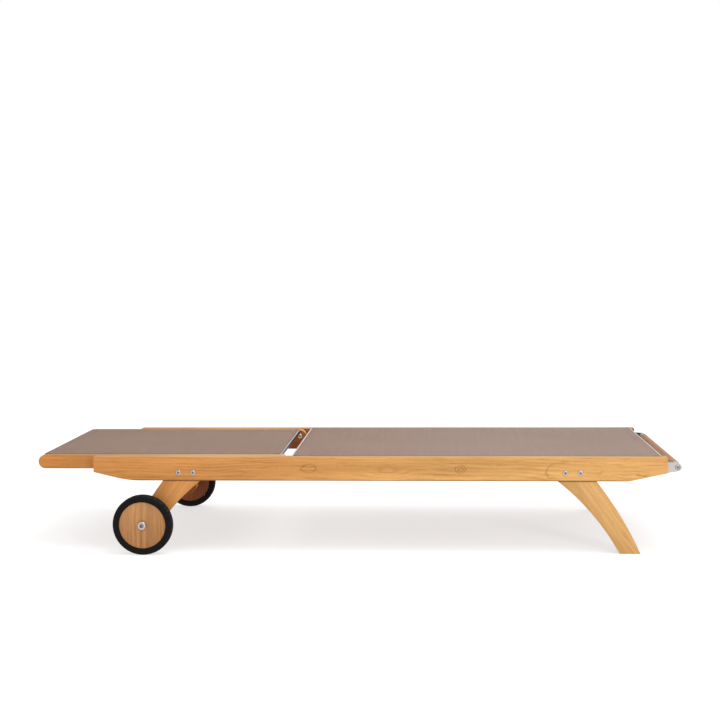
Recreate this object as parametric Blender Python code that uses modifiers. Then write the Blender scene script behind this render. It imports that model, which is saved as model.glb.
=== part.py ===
"""Reclining sun lounger: teak side rails, two stretched mesh slings, a hinged
backrest on a rack-and-strut prop, two disc wheels at the head end and a round
handle at the foot end.

Metres, +Z up. The floor is z = 0, the head end is at -X, the foot end at +X.
The sitter's right-hand side is -Y, the left-hand side is +Y.
"""

import math

import bmesh
import bpy
from mathutils import Matrix, Vector

# ---------------------------------------------------------------- sizes
# Overall
LENGTH = 2.000            # tip of the backrest to the nose of the handle
FRAME_WIDTH = 0.630       # over the outer faces of the side rails
DECK_HEIGHT = 0.2985      # top edge of all the rails
CLEAR = 0.0003            # gap kept between pieces that touch

# Side rails
RAIL_THICK = 0.033
RAIL_DEPTH = 0.0735
RAIL_HEAD_SETBACK = 0.1875   # backrest tip to the side rail's head end
RAIL_FOOT_SETBACK = 0.0445   # handle nose to the side rail's foot end
RAIL_HEAD_DEPTH = 0.0475     # depth left at the head end of the taper
RAIL_FOOT_DEPTH = 0.0485     # depth left at the foot end of the taper
HEAD_TAPER_RUN = 0.108
FOOT_TAPER_RUN = 0.115
HEAD_TAPER_BLEND = 0.34
FOOT_TAPER_BLEND = 0.10
WOOD_ROUND = 0.0025          # rounding of the sawn edges

# Legs: the wheel leg is the foot leg's outline turned round
LEG_THICK = 0.036
LEG_RECESS = 0.0013          # leg face behind the rail face
LEG_TOP_WIDTH = 0.1182
LEG_INNER_RUN = 0.1902       # horizontal run of the hollow edge, rail to floor
LEG_OUTER_RUN = 0.1351       # horizontal run of the crowned edge
LEG_INNER_SAG = 0.0148       # bow of the two edges
LEG_OUTER_SAG = 0.0078
TENON_THICK = 0.0142
TENON_HEIGHT = 0.060
FOOT_LEG_SETBACK = 0.3761    # handle nose to the leg's inner edge at the rail
WHEEL_LEG_SETBACK = 0.5241   # backrest tip to the leg's inner edge at the rail
WHEEL_LEG_END_RADIUS = 0.037
BOLT_INSETS = (0.0235, 0.0690)
BOLT_DROP = 0.0485           # bolt line below the deck
BOLT_SHANK = 0.0035
BOLT_HEAD = 0.0080
BOLT_HEAD_THICK = 0.0025
BOLT_EASE = 0.0012           # slope at a head's rim
BOLT_CLEAR = 0.0004

# Wheels
WHEEL_RADIUS = 0.0932
TYRE_WIDTH = 0.030
TYRE_SHOULDER = 0.004
DISC_RADIUS = 0.0728
DISC_RECESS = 0.002          # disc face behind the tyre's side
WHEEL_GAP = 0.0203           # leg face to the wheel
AXLE_OFFSET = 0.008          # axle beyond the leg's middle line
AXLE_RADIUS = 0.006
BUSH_WALL = 0.0042
SPACER_RADIUS = 0.011
AXLE_CAP_RADIUS = 0.0135
AXLE_CAP_THICK = 0.0057
AXLE_SOCKET_RADIUS = 0.0055
AXLE_SOCKET_DEPTH = 0.003
AXLE_SCREW_RADIUS = 0.0033
AXLE_SCREW_LENGTH = 0.020

# Backrest
BACK_LENGTH = 0.770          # tip to hinge axis
BACK_DEPTH = 0.043
BACK_THICK = 0.030
BACK_SIDE_GAP = 0.004        # side rail to backrest rail
BACK_REST_GAP = 0.0005       # lying backrest above the stretchers
HINGE_RADIUS = 0.004
HINGE_BUSH_WALL = 0.0022
HINGE_HEAD_RADIUS = 0.0085
HINGE_HEAD_THICK = 0.006
HINGE_DEPTH = 0.018          # bolt into the side rail
HINGE_WASHER_RADIUS = 0.011

# Strut that props the backrest
STRUT_LENGTH = 0.232         # hinge to pivot, and pivot to foot tube
STRUT_ANGLE = math.radians(4.0)   # strut below the rail when lying flat
STRUT_WIDTH = 0.020
STRUT_THICK = 0.008
STRUT_SIDE_GAP = 0.004
STRUT_TUBE_RADIUS = 0.008
STRUT_PIN_RADIUS = 0.004
STRUT_PIN_HEAD = 0.0075
STRUT_PIN_HEAD_THICK = 0.004
STRUT_PIN_DEPTH = 0.020
RECLINE_STOPS = (15.0, 25.0, 35.0, 45.0, 55.0)
RACK_THICK = 0.018
RACK_INSET = 0.013           # strut to rack
RACK_BOTTOM_DROP = 0.0675    # rack's underside below the deck
NOTCH_DEPTH = 0.004

# Stretchers under the deck: the first two stand off the ends of the foot tube's travel
STRETCHER_HOUSING = 0.008
HEAD_STRETCHER_GAP = 0.0163  # stretcher's edge to the tube's centre
HEAD_STRETCHER_RUN = 0.045
HEAD_STRETCHER_THICK = 0.0145
RACK_STRETCHER_GAP = 0.0276
SEAT_STRETCHER_RUN = 0.045
SEAT_STRETCHER_THICK = 0.0265
MIDDLE_STRETCHER_FROM_FOOT = 0.770
FOOT_STRETCHER_FROM_FOOT = 0.220

# Slings and the bars that hold their ends
SLING_THICK = 0.0015
SLING_LIFT = 0.0004
SEAT_SLING_INSET = 0.026     # side rail's outer face to the sling's edge
BACK_SLING_INSET = 0.020     # backrest rail's outer face to the sling's edge
GROOVE_WIDTH = 0.005
GROOVE_DEPTH = 0.009
KEDER_RADIUS = 0.0022
FLAP_THICK = 0.0012
BAR_RUN = 0.022
BAR_THICK = 0.012
BAR_ROUND = 0.0015
BAR_SHOW = 0.0065            # bar left bare at a sling's end
SEAT_BAR_FROM_HINGE = 0.035
FOOT_BAR_SETBACK = 0.0562    # handle nose to the foot bar's far edge
HINGE_BAR_SETBACK = 0.000    # backrest's lower bar, from the hinge axis
TIP_BAR_SETBACK = 0.016      # backrest's upper bar, from the tip

# Handle
HANDLE_RADIUS = 0.0136
NOSE_RADIUS = 0.0124
HANDLE_DROP = 0.0313         # handle axis below the deck
BRACKET_THICK = 0.010
BRACKET_INSET = 0.008        # bracket face behind the rail face
BRACKET_TOP_DROP = 0.0163
BRACKET_BOTTOM_DROP = 0.0487
BRACKET_TONGUE = 0.030
TONGUE_TOP_DROP = 0.0205
TONGUE_BOTTOM_DROP = 0.0435
BOSS_LENGTH = 0.0290
HANDLE_SCREW_RADIUS = 0.003
HANDLE_SCREW_HEAD = 0.0072
HANDLE_SCREW_SINK = 0.003
HANDLE_SCREW_BITE = 0.028

# Facet counts
ROUND_FINE = 64
ROUND_MEDIUM = 24
ROUND_SMALL = 16
ROUND_TINY = 8
ARC_STEPS = 8

# ---------------------------------------------------------------- derived places
HEAD_X = -LENGTH / 2
FOOT_X = LENGTH / 2
RAIL_OUTER = FRAME_WIDTH / 2
RAIL_INNER = RAIL_OUTER - RAIL_THICK
RAIL_MID = (RAIL_OUTER + RAIL_INNER) / 2
RAIL_BOTTOM = DECK_HEIGHT - RAIL_DEPTH
RAIL_HEAD_X = HEAD_X + RAIL_HEAD_SETBACK
RAIL_FOOT_X = FOOT_X - RAIL_FOOT_SETBACK

BACK_OUTER = RAIL_INNER - BACK_SIDE_GAP
BACK_INNER = BACK_OUTER - BACK_THICK
BACK_MID = (BACK_OUTER + BACK_INNER) / 2
HINGE_X = HEAD_X + BACK_LENGTH
HINGE_Z = DECK_HEIGHT - BACK_DEPTH / 2

LEG_OUTER = RAIL_OUTER - LEG_RECESS
LEG_MID = LEG_OUTER - LEG_THICK / 2
TENON_INNER = RAIL_INNER + CLEAR
TENON_OUTER = TENON_INNER + TENON_THICK
TENON_TOP = RAIL_BOTTOM + TENON_HEIGHT
BOLT_Z = DECK_HEIGHT - BOLT_DROP
FOOT_LEG_X = FOOT_X - FOOT_LEG_SETBACK
WHEEL_LEG_X = HEAD_X + WHEEL_LEG_SETBACK

WHEEL_INNER = LEG_OUTER + WHEEL_GAP
WHEEL_OUTER = WHEEL_INNER + TYRE_WIDTH
WHEEL_MID = (WHEEL_INNER + WHEEL_OUTER) / 2

STRUT_OUTER = BACK_INNER - STRUT_SIDE_GAP
STRUT_INNER = STRUT_OUTER - STRUT_THICK
STRUT_MID = (STRUT_OUTER + STRUT_INNER) / 2
PIVOT_X = HINGE_X - STRUT_LENGTH
PIVOT_Z = HINGE_Z
RACK_OUTER = STRUT_INNER - RACK_INSET
RACK_MID = RACK_OUTER - RACK_THICK / 2
STRETCHER_TOP = DECK_HEIGHT - BACK_DEPTH - BACK_REST_GAP

SEAT_SLING_EDGE = RAIL_OUTER - SEAT_SLING_INSET
BACK_SLING_EDGE = BACK_OUTER - BACK_SLING_INSET
HANDLE_X = FOOT_X - HANDLE_RADIUS
HANDLE_Z = DECK_HEIGHT - HANDLE_DROP
BRACKET_OUTER = RAIL_OUTER - BRACKET_INSET
BRACKET_INNER = BRACKET_OUTER - BRACKET_THICK
BOSS_INNER = BRACKET_INNER - BOSS_LENGTH

SIDES = (("right", -1.0), ("left", 1.0))


# ---------------------------------------------------------------- scene helpers
def clear_scene():
    for obj in list(bpy.data.objects):
        bpy.data.objects.remove(obj, do_unlink=True)


def new_collection(name):
    collection = bpy.data.collections.new(name)
    bpy.context.scene.collection.children.link(collection)
    return collection


def material(name, colour, roughness, metallic=0.0):
    """A Principled material with a plain linear colour."""
    mat = bpy.data.materials.new(name)
    mat.use_nodes = True
    shader = mat.node_tree.nodes["Principled BSDF"]
    shader.inputs["Base Color"].default_value = (*colour, 1.0)
    shader.inputs["Roughness"].default_value = roughness
    shader.inputs["Metallic"].default_value = metallic
    mat.diffuse_color = (*colour, 1.0)
    return mat


def add_object(name, mesh, collection, location, rotation=(0.0, 0.0, 0.0), pivot=None):
    """Links a mesh as an object, placed in the world or against a pivot empty."""
    obj = bpy.data.objects.new(name, mesh)
    collection.objects.link(obj)
    place = Vector(location)
    if pivot is not None:
        obj.parent = pivot
        place = place - pivot.location
    obj.location = place
    obj.rotation_euler = rotation
    return obj


def add_pivot(name, location, collection):
    """An empty on a joint's axis, which the moving pieces hang from."""
    empty = bpy.data.objects.new(name, None)
    empty.empty_display_size = BACK_THICK
    empty.location = location
    collection.objects.link(empty)
    return empty


# ---------------------------------------------------------------- outlines
def fillet(before, corner, after, radius):
    """Points of the arc that rounds a corner between two straight edges."""
    back = (Vector(before) - Vector(corner)).normalized()
    ahead = (Vector(after) - Vector(corner)).normalized()
    half = back.angle(ahead) / 2
    reach = radius / math.tan(half)
    centre = Vector(corner) + (back + ahead).normalized() * (radius / math.sin(half))
    start = Vector(corner) + back * reach - centre
    end = Vector(corner) + ahead * reach - centre
    turn = start.angle_signed(end)
    points = []
    for step in range(ARC_STEPS + 1):
        angle = -turn * step / ARC_STEPS
        points.append(centre + Matrix.Rotation(angle, 2) @ start)
    return [tuple(p) for p in points]


def bow(start, end, sag):
    """Points of an arc from start to end that bows to its left by sag."""
    a, b = Vector(start), Vector(end)
    chord = b - a
    middle = (a + b) / 2
    left = Vector((-chord.y, chord.x)).normalized()
    radius = (chord.length ** 2 / 4 + sag ** 2) / (2 * sag)
    centre = middle + left * (sag - radius)
    first = a - centre
    turn = 2 * math.asin(chord.length / 2 / radius)
    points = []
    for step in range(ARC_STEPS + 1):
        angle = -turn * step / ARC_STEPS
        points.append(tuple(centre + Matrix.Rotation(angle, 2) @ first))
    return points


def circle_arc(centre, radius, start_angle, end_angle, steps=ARC_STEPS):
    """Points of a circular arc, with the angles in radians from +X."""
    points = []
    for step in range(steps + 1):
        angle = start_angle + (end_angle - start_angle) * step / steps
        points.append((centre[0] + radius * math.cos(angle), centre[1] + radius * math.sin(angle)))
    return points


def stadium(start, end, radius):
    """Outline of a bar with round ends, between two end centres."""
    direction = Vector(end) - Vector(start)
    heading = math.atan2(direction.y, direction.x)
    quarter = math.pi / 2
    far = circle_arc(end, radius, heading - quarter, heading + quarter)
    near = circle_arc(start, radius, heading + quarter, heading + 3 * quarter)
    return far + near


# ---------------------------------------------------------------- solids
def weld(mesh):
    """Merges the doubles that a filled curve leaves at its caps."""
    work = bmesh.new()
    work.from_mesh(mesh)
    bmesh.ops.remove_doubles(work, verts=work.verts, dist=0.00001)
    bmesh.ops.recalc_face_normals(work, faces=work.faces)
    work.to_mesh(mesh)
    work.free()


ACROSS = (math.pi / 2, 0.0, 0.0)               # outline in XZ, thickness along Y
ALONG = (math.pi / 2, 0.0, math.pi / 2)        # outline in YZ, thickness along X


def prism(name, outline, thick, centre, collection, turned=ACROSS, pivot=None):
    """A flat closed outline given in world places, thickened both ways from centre."""
    flat = (centre[0], centre[2]) if turned is ACROSS else (centre[1], centre[2])
    curve = bpy.data.curves.new(name + "_outline", "CURVE")
    curve.dimensions = "2D"
    curve.fill_mode = "BOTH"
    curve.extrude = thick / 2
    spline = curve.splines.new("POLY")
    spline.points.add(len(outline) - 1)
    for point, (across, up) in zip(spline.points, outline):
        point.co = (across - flat[0], up - flat[1], 0.0, 1.0)
    spline.use_cyclic_u = True
    drawn = bpy.data.objects.new(name + "_outline", curve)
    collection.objects.link(drawn)
    depsgraph = bpy.context.evaluated_depsgraph_get()
    mesh = bpy.data.meshes.new_from_object(drawn.evaluated_get(depsgraph))
    bpy.data.objects.remove(drawn, do_unlink=True)
    bpy.data.curves.remove(curve)
    weld(mesh)
    mesh.name = name
    return add_object(name, mesh, collection, centre, turned, pivot)


def block(name, low, high, collection, pivot=None):
    """A box between two world corners."""
    low, high = Vector(low), Vector(high)
    size = high - low
    mesh = bpy.data.meshes.new(name)
    work = bmesh.new()
    bmesh.ops.create_cube(work, size=1.0, matrix=Matrix.Diagonal((*size, 1.0)))
    work.to_mesh(mesh)
    work.free()
    return add_object(name, mesh, collection, (low + high) / 2, pivot=pivot)


def rod(name, radius, start, end, collection, facets=ROUND_MEDIUM, pivot=None):
    """A round bar along Y, from start to end, with start and end as (x, y, z)."""
    start, end = Vector(start), Vector(end)
    mesh = bpy.data.meshes.new(name)
    work = bmesh.new()
    bmesh.ops.create_cone(
        work,
        cap_ends=True,
        segments=facets,
        radius1=radius,
        radius2=radius,
        depth=(end - start).length,
    )
    work.to_mesh(mesh)
    work.free()
    rotation = (end - start).to_track_quat("Z", "X").to_euler()
    obj = add_object(name, mesh, collection, (start + end) / 2, rotation, pivot)
    smooth(obj)
    return obj


def turned_piece(name, profile, centre, side, collection, facets, closed=False, pivot=None):
    """A profile of (radius, distance outwards) spun about the Y axis through centre."""
    mesh = bpy.data.meshes.new(name)
    count = len(profile)
    verts = [(radius, 0.0, out) for radius, out in profile]
    edges = [(i, (i + 1) % count) for i in range(count if closed else count - 1)]
    mesh.from_pydata(verts, edges, [])
    turn = (side * -math.pi / 2, 0.0, 0.0)
    obj = add_object(name, mesh, collection, centre, turn, pivot)
    screw = obj.modifiers.new("spin", "SCREW")
    screw.steps = facets
    screw.render_steps = facets
    screw.use_merge_vertices = True
    screw.merge_threshold = 0.00001
    return obj


def headed_profile(head, thick, shank, length, ease):
    """Half section of a round-headed pin, with its distances from the shank's end."""
    top = length + thick
    return [
        (0.0, top),
        (head - ease, top),
        (head, top - ease),
        (head, length),
        (shank, length),
        (shank, 0.0),
        (0.0, 0.0),
    ]


def ring_profile(inner, outer, length):
    """Half section of a plain ring."""
    return [(outer, length), (outer, 0.0), (inner, 0.0), (inner, length)]


def smooth(obj):
    obj.data.shade_smooth()
    obj.data.set_sharp_from_angle(angle=math.radians(35.0))


def round_edges(obj, width, segments=2):
    """Rounds every sharp edge of a piece."""
    bevel = obj.modifiers.new("round", "BEVEL")
    bevel.width = width
    bevel.segments = segments
    bevel.limit_method = "ANGLE"
    bevel.angle_limit = math.radians(40.0)
    return obj


def cut(obj, cutter):
    tool = obj.modifiers.new("cut_" + cutter.name, "BOOLEAN")
    tool.operation = "DIFFERENCE"
    tool.object = cutter
    hide_tool(cutter)


def join(obj, extra):
    tool = obj.modifiers.new("join_" + extra.name, "BOOLEAN")
    tool.operation = "UNION"
    tool.object = extra
    hide_tool(extra)


def hide_tool(tool):
    tool.hide_render = True
    tool.display_type = "WIRE"


def paint(obj, mat):
    obj.data.materials.clear()
    obj.data.materials.append(mat)
    return obj


# ---------------------------------------------------------------- leg outline
def leg_edges(ref, away):
    """The hollow and the crowned edge of a leg, from rail to floor.

    ref is the x of the inner edge at the rail, away is +1 or -1 for the way it leans.
    """
    inner = bow((0.0, RAIL_BOTTOM), (LEG_INNER_RUN, 0.0), LEG_INNER_SAG)
    outer = bow(
        (LEG_TOP_WIDTH, RAIL_BOTTOM), (LEG_TOP_WIDTH + LEG_OUTER_RUN, 0.0), LEG_OUTER_SAG
    )
    inner = [(ref + away * u, z) for u, z in inner]
    outer = [(ref + away * u, z) for u, z in outer]
    return inner, outer


def edge_x_at(edge, height):
    """x where an edge's points pass a height."""
    for (x0, z0), (x1, z1) in zip(edge, edge[1:]):
        if z0 >= height >= z1:
            return x0 + (x1 - x0) * (z0 - height) / (z0 - z1)
    return edge[-1][0]


def axle_place():
    inner, outer = leg_edges(WHEEL_LEG_X, -1.0)
    middle = (edge_x_at(inner, WHEEL_RADIUS) + edge_x_at(outer, WHEEL_RADIUS)) / 2
    return middle - AXLE_OFFSET, WHEEL_RADIUS


def tenon_corners(ref, away):
    return [(ref + away * LEG_TOP_WIDTH, TENON_TOP), (ref, TENON_TOP)]


def foot_leg_outline():
    inner, outer = leg_edges(FOOT_LEG_X, 1.0)
    return inner + outer[::-1] + tenon_corners(FOOT_LEG_X, 1.0)


def wheel_leg_outline():
    """The leg stops in a round end about the axle."""
    inner, outer = leg_edges(WHEEL_LEG_X, -1.0)
    hub = axle_place()

    def kept(edge):
        return [p for p in edge if p[1] > hub[1] and math.dist(p, hub) > WHEEL_LEG_END_RADIUS]

    inner, outer = kept(inner), kept(outer)
    start = math.atan2(inner[-1][1] - hub[1], inner[-1][0] - hub[0])
    end = math.atan2(outer[-1][1] - hub[1], outer[-1][0] - hub[0]) - 2 * math.pi
    round_end = circle_arc(hub, WHEEL_LEG_END_RADIUS, start, end, 2 * ARC_STEPS)
    return inner + round_end + outer[::-1] + tenon_corners(WHEEL_LEG_X, -1.0)


# ---------------------------------------------------------------- strut geometry
def foot_tube_place(recline_deg):
    """Centre of the strut's foot tube at a recline angle: it stays on one straight line."""
    angle = STRUT_ANGLE / 2 + math.radians(recline_deg)
    reach = 2 * STRUT_LENGTH * math.cos(angle)
    slope = STRUT_ANGLE / 2
    return HINGE_X - reach * math.cos(slope), HINGE_Z - reach * math.sin(slope)


def tube_path_z(x):
    return HINGE_Z - (HINGE_X - x) * math.tan(STRUT_ANGLE / 2)


# ---------------------------------------------------------------- frame pieces
def stretcher_places():
    """name -> (low x, high x, low z) of the cross pieces under the deck."""
    head = foot_tube_place(0.0)[0] - HEAD_STRETCHER_GAP - HEAD_STRETCHER_RUN
    rack = foot_tube_place(RECLINE_STOPS[-1])[0] + RACK_STRETCHER_GAP
    middle = FOOT_X - MIDDLE_STRETCHER_FROM_FOOT
    foot = FOOT_X - FOOT_STRETCHER_FROM_FOOT
    thin = STRETCHER_TOP - HEAD_STRETCHER_THICK
    deep = STRETCHER_TOP - SEAT_STRETCHER_THICK
    return {
        "head_stretcher": (head, head + HEAD_STRETCHER_RUN, thin),
        "rack_stretcher": (rack, rack + SEAT_STRETCHER_RUN, deep),
        "middle_stretcher": (middle, middle + SEAT_STRETCHER_RUN, deep),
        "foot_stretcher": (foot, foot + SEAT_STRETCHER_RUN, deep),
    }


def side_rail_outline():
    top, low = DECK_HEIGHT, RAIL_BOTTOM
    head_end = (RAIL_HEAD_X, top - RAIL_HEAD_DEPTH)
    head_turn = (RAIL_HEAD_X + HEAD_TAPER_RUN, low)
    foot_turn = (RAIL_FOOT_X - FOOT_TAPER_RUN, low)
    foot_end = (RAIL_FOOT_X, top - RAIL_FOOT_DEPTH)
    outline = [(RAIL_HEAD_X, top), head_end]
    outline += fillet(head_end, head_turn, foot_turn, HEAD_TAPER_BLEND)
    outline += fillet(head_turn, foot_turn, foot_end, FOOT_TAPER_BLEND)
    return outline + [foot_end, (RAIL_FOOT_X, top)]


def seat_sling_span():
    return HINGE_X + SEAT_BAR_FROM_HINGE + BAR_SHOW, FOOT_X - FOOT_BAR_SETBACK - BAR_SHOW


def back_sling_span():
    start = HEAD_X + TIP_BAR_SETBACK - CLEAR
    return start, HINGE_X - HINGE_BAR_SETBACK - BAR_SHOW


def groove(name, side, edge, span, tools, pivot=None):
    """Slot along the top of a rail that takes a sling's edge and its rod."""
    middle = side * edge
    low = (span[0] - CLEAR, middle - GROOVE_WIDTH / 2, DECK_HEIGHT - GROOVE_DEPTH)
    high = (span[1] + CLEAR, middle + GROOVE_WIDTH / 2, DECK_HEIGHT + GROOVE_DEPTH)
    return block(name, low, high, tools, pivot)


def span_y(side, near, far):
    """Two distances from the middle plane, as low and high y on a side."""
    return min(side * near, side * far), max(side * near, side * far)


def make_side_rail(word, side, parts, tools, teak):
    rail = prism(
        "side_rail_" + word,
        side_rail_outline(),
        RAIL_THICK,
        (0.0, side * RAIL_MID, DECK_HEIGHT),
        parts,
    )
    round_edges(rail, WOOD_ROUND)
    cut(rail, groove("slot_" + word, side, SEAT_SLING_EDGE, seat_sling_span(), tools))

    low_y, high_y = span_y(side, RAIL_INNER - RAIL_THICK, TENON_OUTER + CLEAR)
    for leg, ref, away in (("foot", FOOT_LEG_X, 1.0), ("wheel", WHEEL_LEG_X, -1.0)):
        ends = sorted((ref - away * CLEAR, ref + away * (LEG_TOP_WIDTH + CLEAR)))
        low = (ends[0], low_y, RAIL_BOTTOM - RAIL_DEPTH)
        high = (ends[1], high_y, TENON_TOP + CLEAR)
        cut(rail, block(leg + "_mortise_" + word, low, high, tools))
        for index, inset in enumerate(BOLT_INSETS):
            x = ref + away * inset
            start = (x, side * (RAIL_INNER - CLEAR), BOLT_Z)
            end = (x, side * (RAIL_OUTER + RAIL_THICK), BOLT_Z)
            name = "%s_bolt_hole_%s_%d" % (leg, word, index)
            cut(rail, rod(name, BOLT_SHANK + BOLT_CLEAR, start, end, tools, ROUND_SMALL))

    low_y, high_y = span_y(side, RAIL_INNER - RAIL_THICK, RAIL_INNER + STRETCHER_HOUSING)
    for name, (start, end, bottom) in stretcher_places().items():
        low = (start - CLEAR, low_y, bottom - CLEAR)
        high = (end + CLEAR, high_y, STRETCHER_TOP + CLEAR)
        cut(rail, block(name + "_housing_" + word, low, high, tools))

    low_y, high_y = span_y(side, BRACKET_INNER - CLEAR, BRACKET_OUTER + CLEAR)
    low = (RAIL_FOOT_X - BRACKET_TONGUE - CLEAR, low_y, DECK_HEIGHT - TONGUE_BOTTOM_DROP - CLEAR)
    high = (FOOT_X, high_y, DECK_HEIGHT - TONGUE_TOP_DROP + CLEAR)
    cut(rail, block("tongue_slot_" + word, low, high, tools))

    start = (HINGE_X, side * (RAIL_INNER - RAIL_THICK), HINGE_Z)
    end = (HINGE_X, side * (RAIL_INNER + HINGE_DEPTH + CLEAR), HINGE_Z)
    hole = rod("hinge_hole_" + word, HINGE_RADIUS + CLEAR, start, end, tools, ROUND_SMALL)
    cut(rail, hole)
    return paint(rail, teak)


def make_leg(name, side, outline, ref, away, parts, tools, teak):
    leg = prism(name, outline, LEG_THICK, (ref, side * LEG_MID, RAIL_BOTTOM), parts)
    shoulder = RAIL_BOTTOM - CLEAR
    reach = LEG_THICK + LEG_TOP_WIDTH
    for part, near, far in (
        ("outer", TENON_OUTER, LEG_OUTER + LEG_THICK),
        ("inner", TENON_INNER - LEG_THICK, TENON_INNER),
    ):
        low_y, high_y = span_y(side, near, far)
        ends = sorted((ref - away * reach, ref + away * (reach + LEG_TOP_WIDTH)))
        low = (ends[0], low_y, shoulder)
        high = (ends[1], high_y, TENON_TOP + LEG_THICK)
        cut(leg, block("%s_%s_shoulder" % (name, part), low, high, tools))
    for index, inset in enumerate(BOLT_INSETS):
        x = ref + away * inset
        start = (x, side * (TENON_INNER - LEG_THICK), BOLT_Z)
        end = (x, side * (TENON_OUTER + LEG_THICK), BOLT_Z)
        hole = "%s_hole_%d" % (name, index)
        cut(leg, rod(hole, BOLT_SHANK + BOLT_CLEAR, start, end, tools, ROUND_SMALL))
        make_leg_bolt("%s_bolt_%s" % (name, "ab"[index]), x, side, parts)
    return paint(leg, teak)


def make_leg_bolt(name, x, side, parts):
    """Button-headed bolt through rail and tenon, seated on the rail's face."""
    seat = RAIL_OUTER - TENON_INNER
    profile = headed_profile(BOLT_HEAD, BOLT_HEAD_THICK, BOLT_SHANK, seat, BOLT_EASE)
    place = (x, side * (TENON_INNER + CLEAR), BOLT_Z)
    bolt = turned_piece(name, profile, place, side, parts, ROUND_SMALL)
    return paint(bolt, STEEL)


def make_legs(word, side, parts, tools, teak):
    outline = foot_leg_outline()
    make_leg("foot_leg_" + word, side, outline, FOOT_LEG_X, 1.0, parts, tools, teak)
    outline = wheel_leg_outline()
    leg = make_leg("wheel_leg_" + word, side, outline, WHEEL_LEG_X, -1.0, parts, tools, teak)
    hub_x, hub_z = axle_place()
    start = (hub_x, side * (LEG_MID - LEG_THICK), hub_z)
    end = (hub_x, side * (LEG_MID + LEG_THICK), hub_z)
    bore = rod("axle_bore_" + word, AXLE_RADIUS + CLEAR, start, end, tools)
    cut(leg, bore)


def make_stretchers(parts, teak):
    reach = RAIL_INNER + STRETCHER_HOUSING - CLEAR
    for name, (start, end, bottom) in stretcher_places().items():
        piece = block(name, (start, -reach, bottom), (end, reach, STRETCHER_TOP), parts)
        round_edges(piece, WOOD_ROUND / 2, 1)
        paint(piece, teak)


def make_bar(name, start, reach, parts, mat, pivot=None):
    """A flat aluminium bar across the deck, flush with the rails' tops."""
    low = (start, -reach, DECK_HEIGHT - BAR_THICK)
    high = (start + BAR_RUN, reach, DECK_HEIGHT)
    bar = block(name, low, high, parts, pivot)
    round_edges(bar, BAR_ROUND)
    return paint(bar, mat)


def make_sling(name, edge, span, parts, mat, pivot=None):
    """A thin sheet whose two long edges turn down into the rails' slots."""
    low = DECK_HEIGHT + SLING_LIFT
    top = low + SLING_THICK
    flap_end = DECK_HEIGHT - GROOVE_DEPTH + 2 * (CLEAR + KEDER_RADIUS)
    outer = edge + FLAP_THICK / 2
    inner = edge - FLAP_THICK / 2
    half = [(outer, top), (outer, flap_end), (inner, flap_end), (inner, low)]
    outline = [(-y, z) for y, z in half] + half[::-1]
    centre = ((span[0] + span[1]) / 2, 0.0, DECK_HEIGHT)
    sheet = prism(name, outline, span[1] - span[0], centre, parts, ALONG, pivot)
    return paint(sheet, mat)


def make_keder(name, side, edge, span, parts, mat, pivot=None):
    """The round rod that keeps a sling's edge in its slot."""
    z = DECK_HEIGHT - GROOVE_DEPTH + CLEAR + KEDER_RADIUS
    start = (span[0], side * edge, z)
    end = (span[1], side * edge, z)
    return paint(rod(name, KEDER_RADIUS, start, end, parts, ROUND_TINY, pivot), mat)


def make_handle_bracket(word, side, parts, tools, mat):
    face = RAIL_FOOT_X + CLEAR
    nose = (HANDLE_X, HANDLE_Z)
    top = (face, DECK_HEIGHT - BRACKET_TOP_DROP)
    bottom = (face, DECK_HEIGHT - BRACKET_BOTTOM_DROP)

    def touch(point, turn):
        """Angle on the nose where a straight edge from point runs off it."""
        away = Vector(point) - Vector(nose)
        return math.atan2(away.y, away.x) + turn * math.acos(NOSE_RADIUS / away.length)

    low_angle = touch(bottom, 1.0)
    high_angle = touch(top, -1.0)
    tongue_top = DECK_HEIGHT - TONGUE_TOP_DROP
    tongue_bottom = DECK_HEIGHT - TONGUE_BOTTOM_DROP
    tongue_x = RAIL_FOOT_X - BRACKET_TONGUE
    outline = [(tongue_x, tongue_bottom), (face, tongue_bottom), bottom]
    outline += circle_arc(nose, NOSE_RADIUS, low_angle, high_angle, 2 * ARC_STEPS)
    outline += [top, (face, tongue_top), (tongue_x, tongue_top)]
    centre = (HANDLE_X, side * (BRACKET_OUTER - BRACKET_THICK / 2), HANDLE_Z)
    bracket = prism("handle_bracket_" + word, outline, BRACKET_THICK, centre, parts)

    start = (HANDLE_X, side * BOSS_INNER, HANDLE_Z)
    end = (HANDLE_X, side * (BRACKET_OUTER - BRACKET_THICK / 2), HANDLE_Z)
    join(bracket, rod("boss_" + word, NOSE_RADIUS - CLEAR, start, end, tools, ROUND_FINE))
    start = (HANDLE_X, side * (BOSS_INNER - BOSS_LENGTH), HANDLE_Z)
    end = (HANDLE_X, side * (BRACKET_OUTER + BOSS_LENGTH), HANDLE_Z)
    bore = HANDLE_SCREW_RADIUS + CLEAR
    cut(bracket, rod("screw_bore_" + word, bore, start, end, tools, ROUND_SMALL))
    sink = (HANDLE_X, side * (BRACKET_OUTER - HANDLE_SCREW_SINK), HANDLE_Z)
    seat = HANDLE_SCREW_HEAD + 2 * CLEAR
    cut(bracket, rod("screw_seat_" + word, seat, sink, end, tools))
    return paint(bracket, mat)


def make_handle_screw(word, side, parts):
    inner_end = BOSS_INNER - HANDLE_SCREW_BITE
    thick = HANDLE_SCREW_SINK - CLEAR
    seat = BRACKET_OUTER - thick - inner_end
    head, shank = HANDLE_SCREW_HEAD, HANDLE_SCREW_RADIUS
    profile = headed_profile(head, thick, shank, seat, BOLT_EASE)
    place = (HANDLE_X, side * inner_end, HANDLE_Z)
    screw = turned_piece("handle_screw_" + word, profile, place, side, parts, ROUND_SMALL)
    return paint(screw, STEEL)


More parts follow.
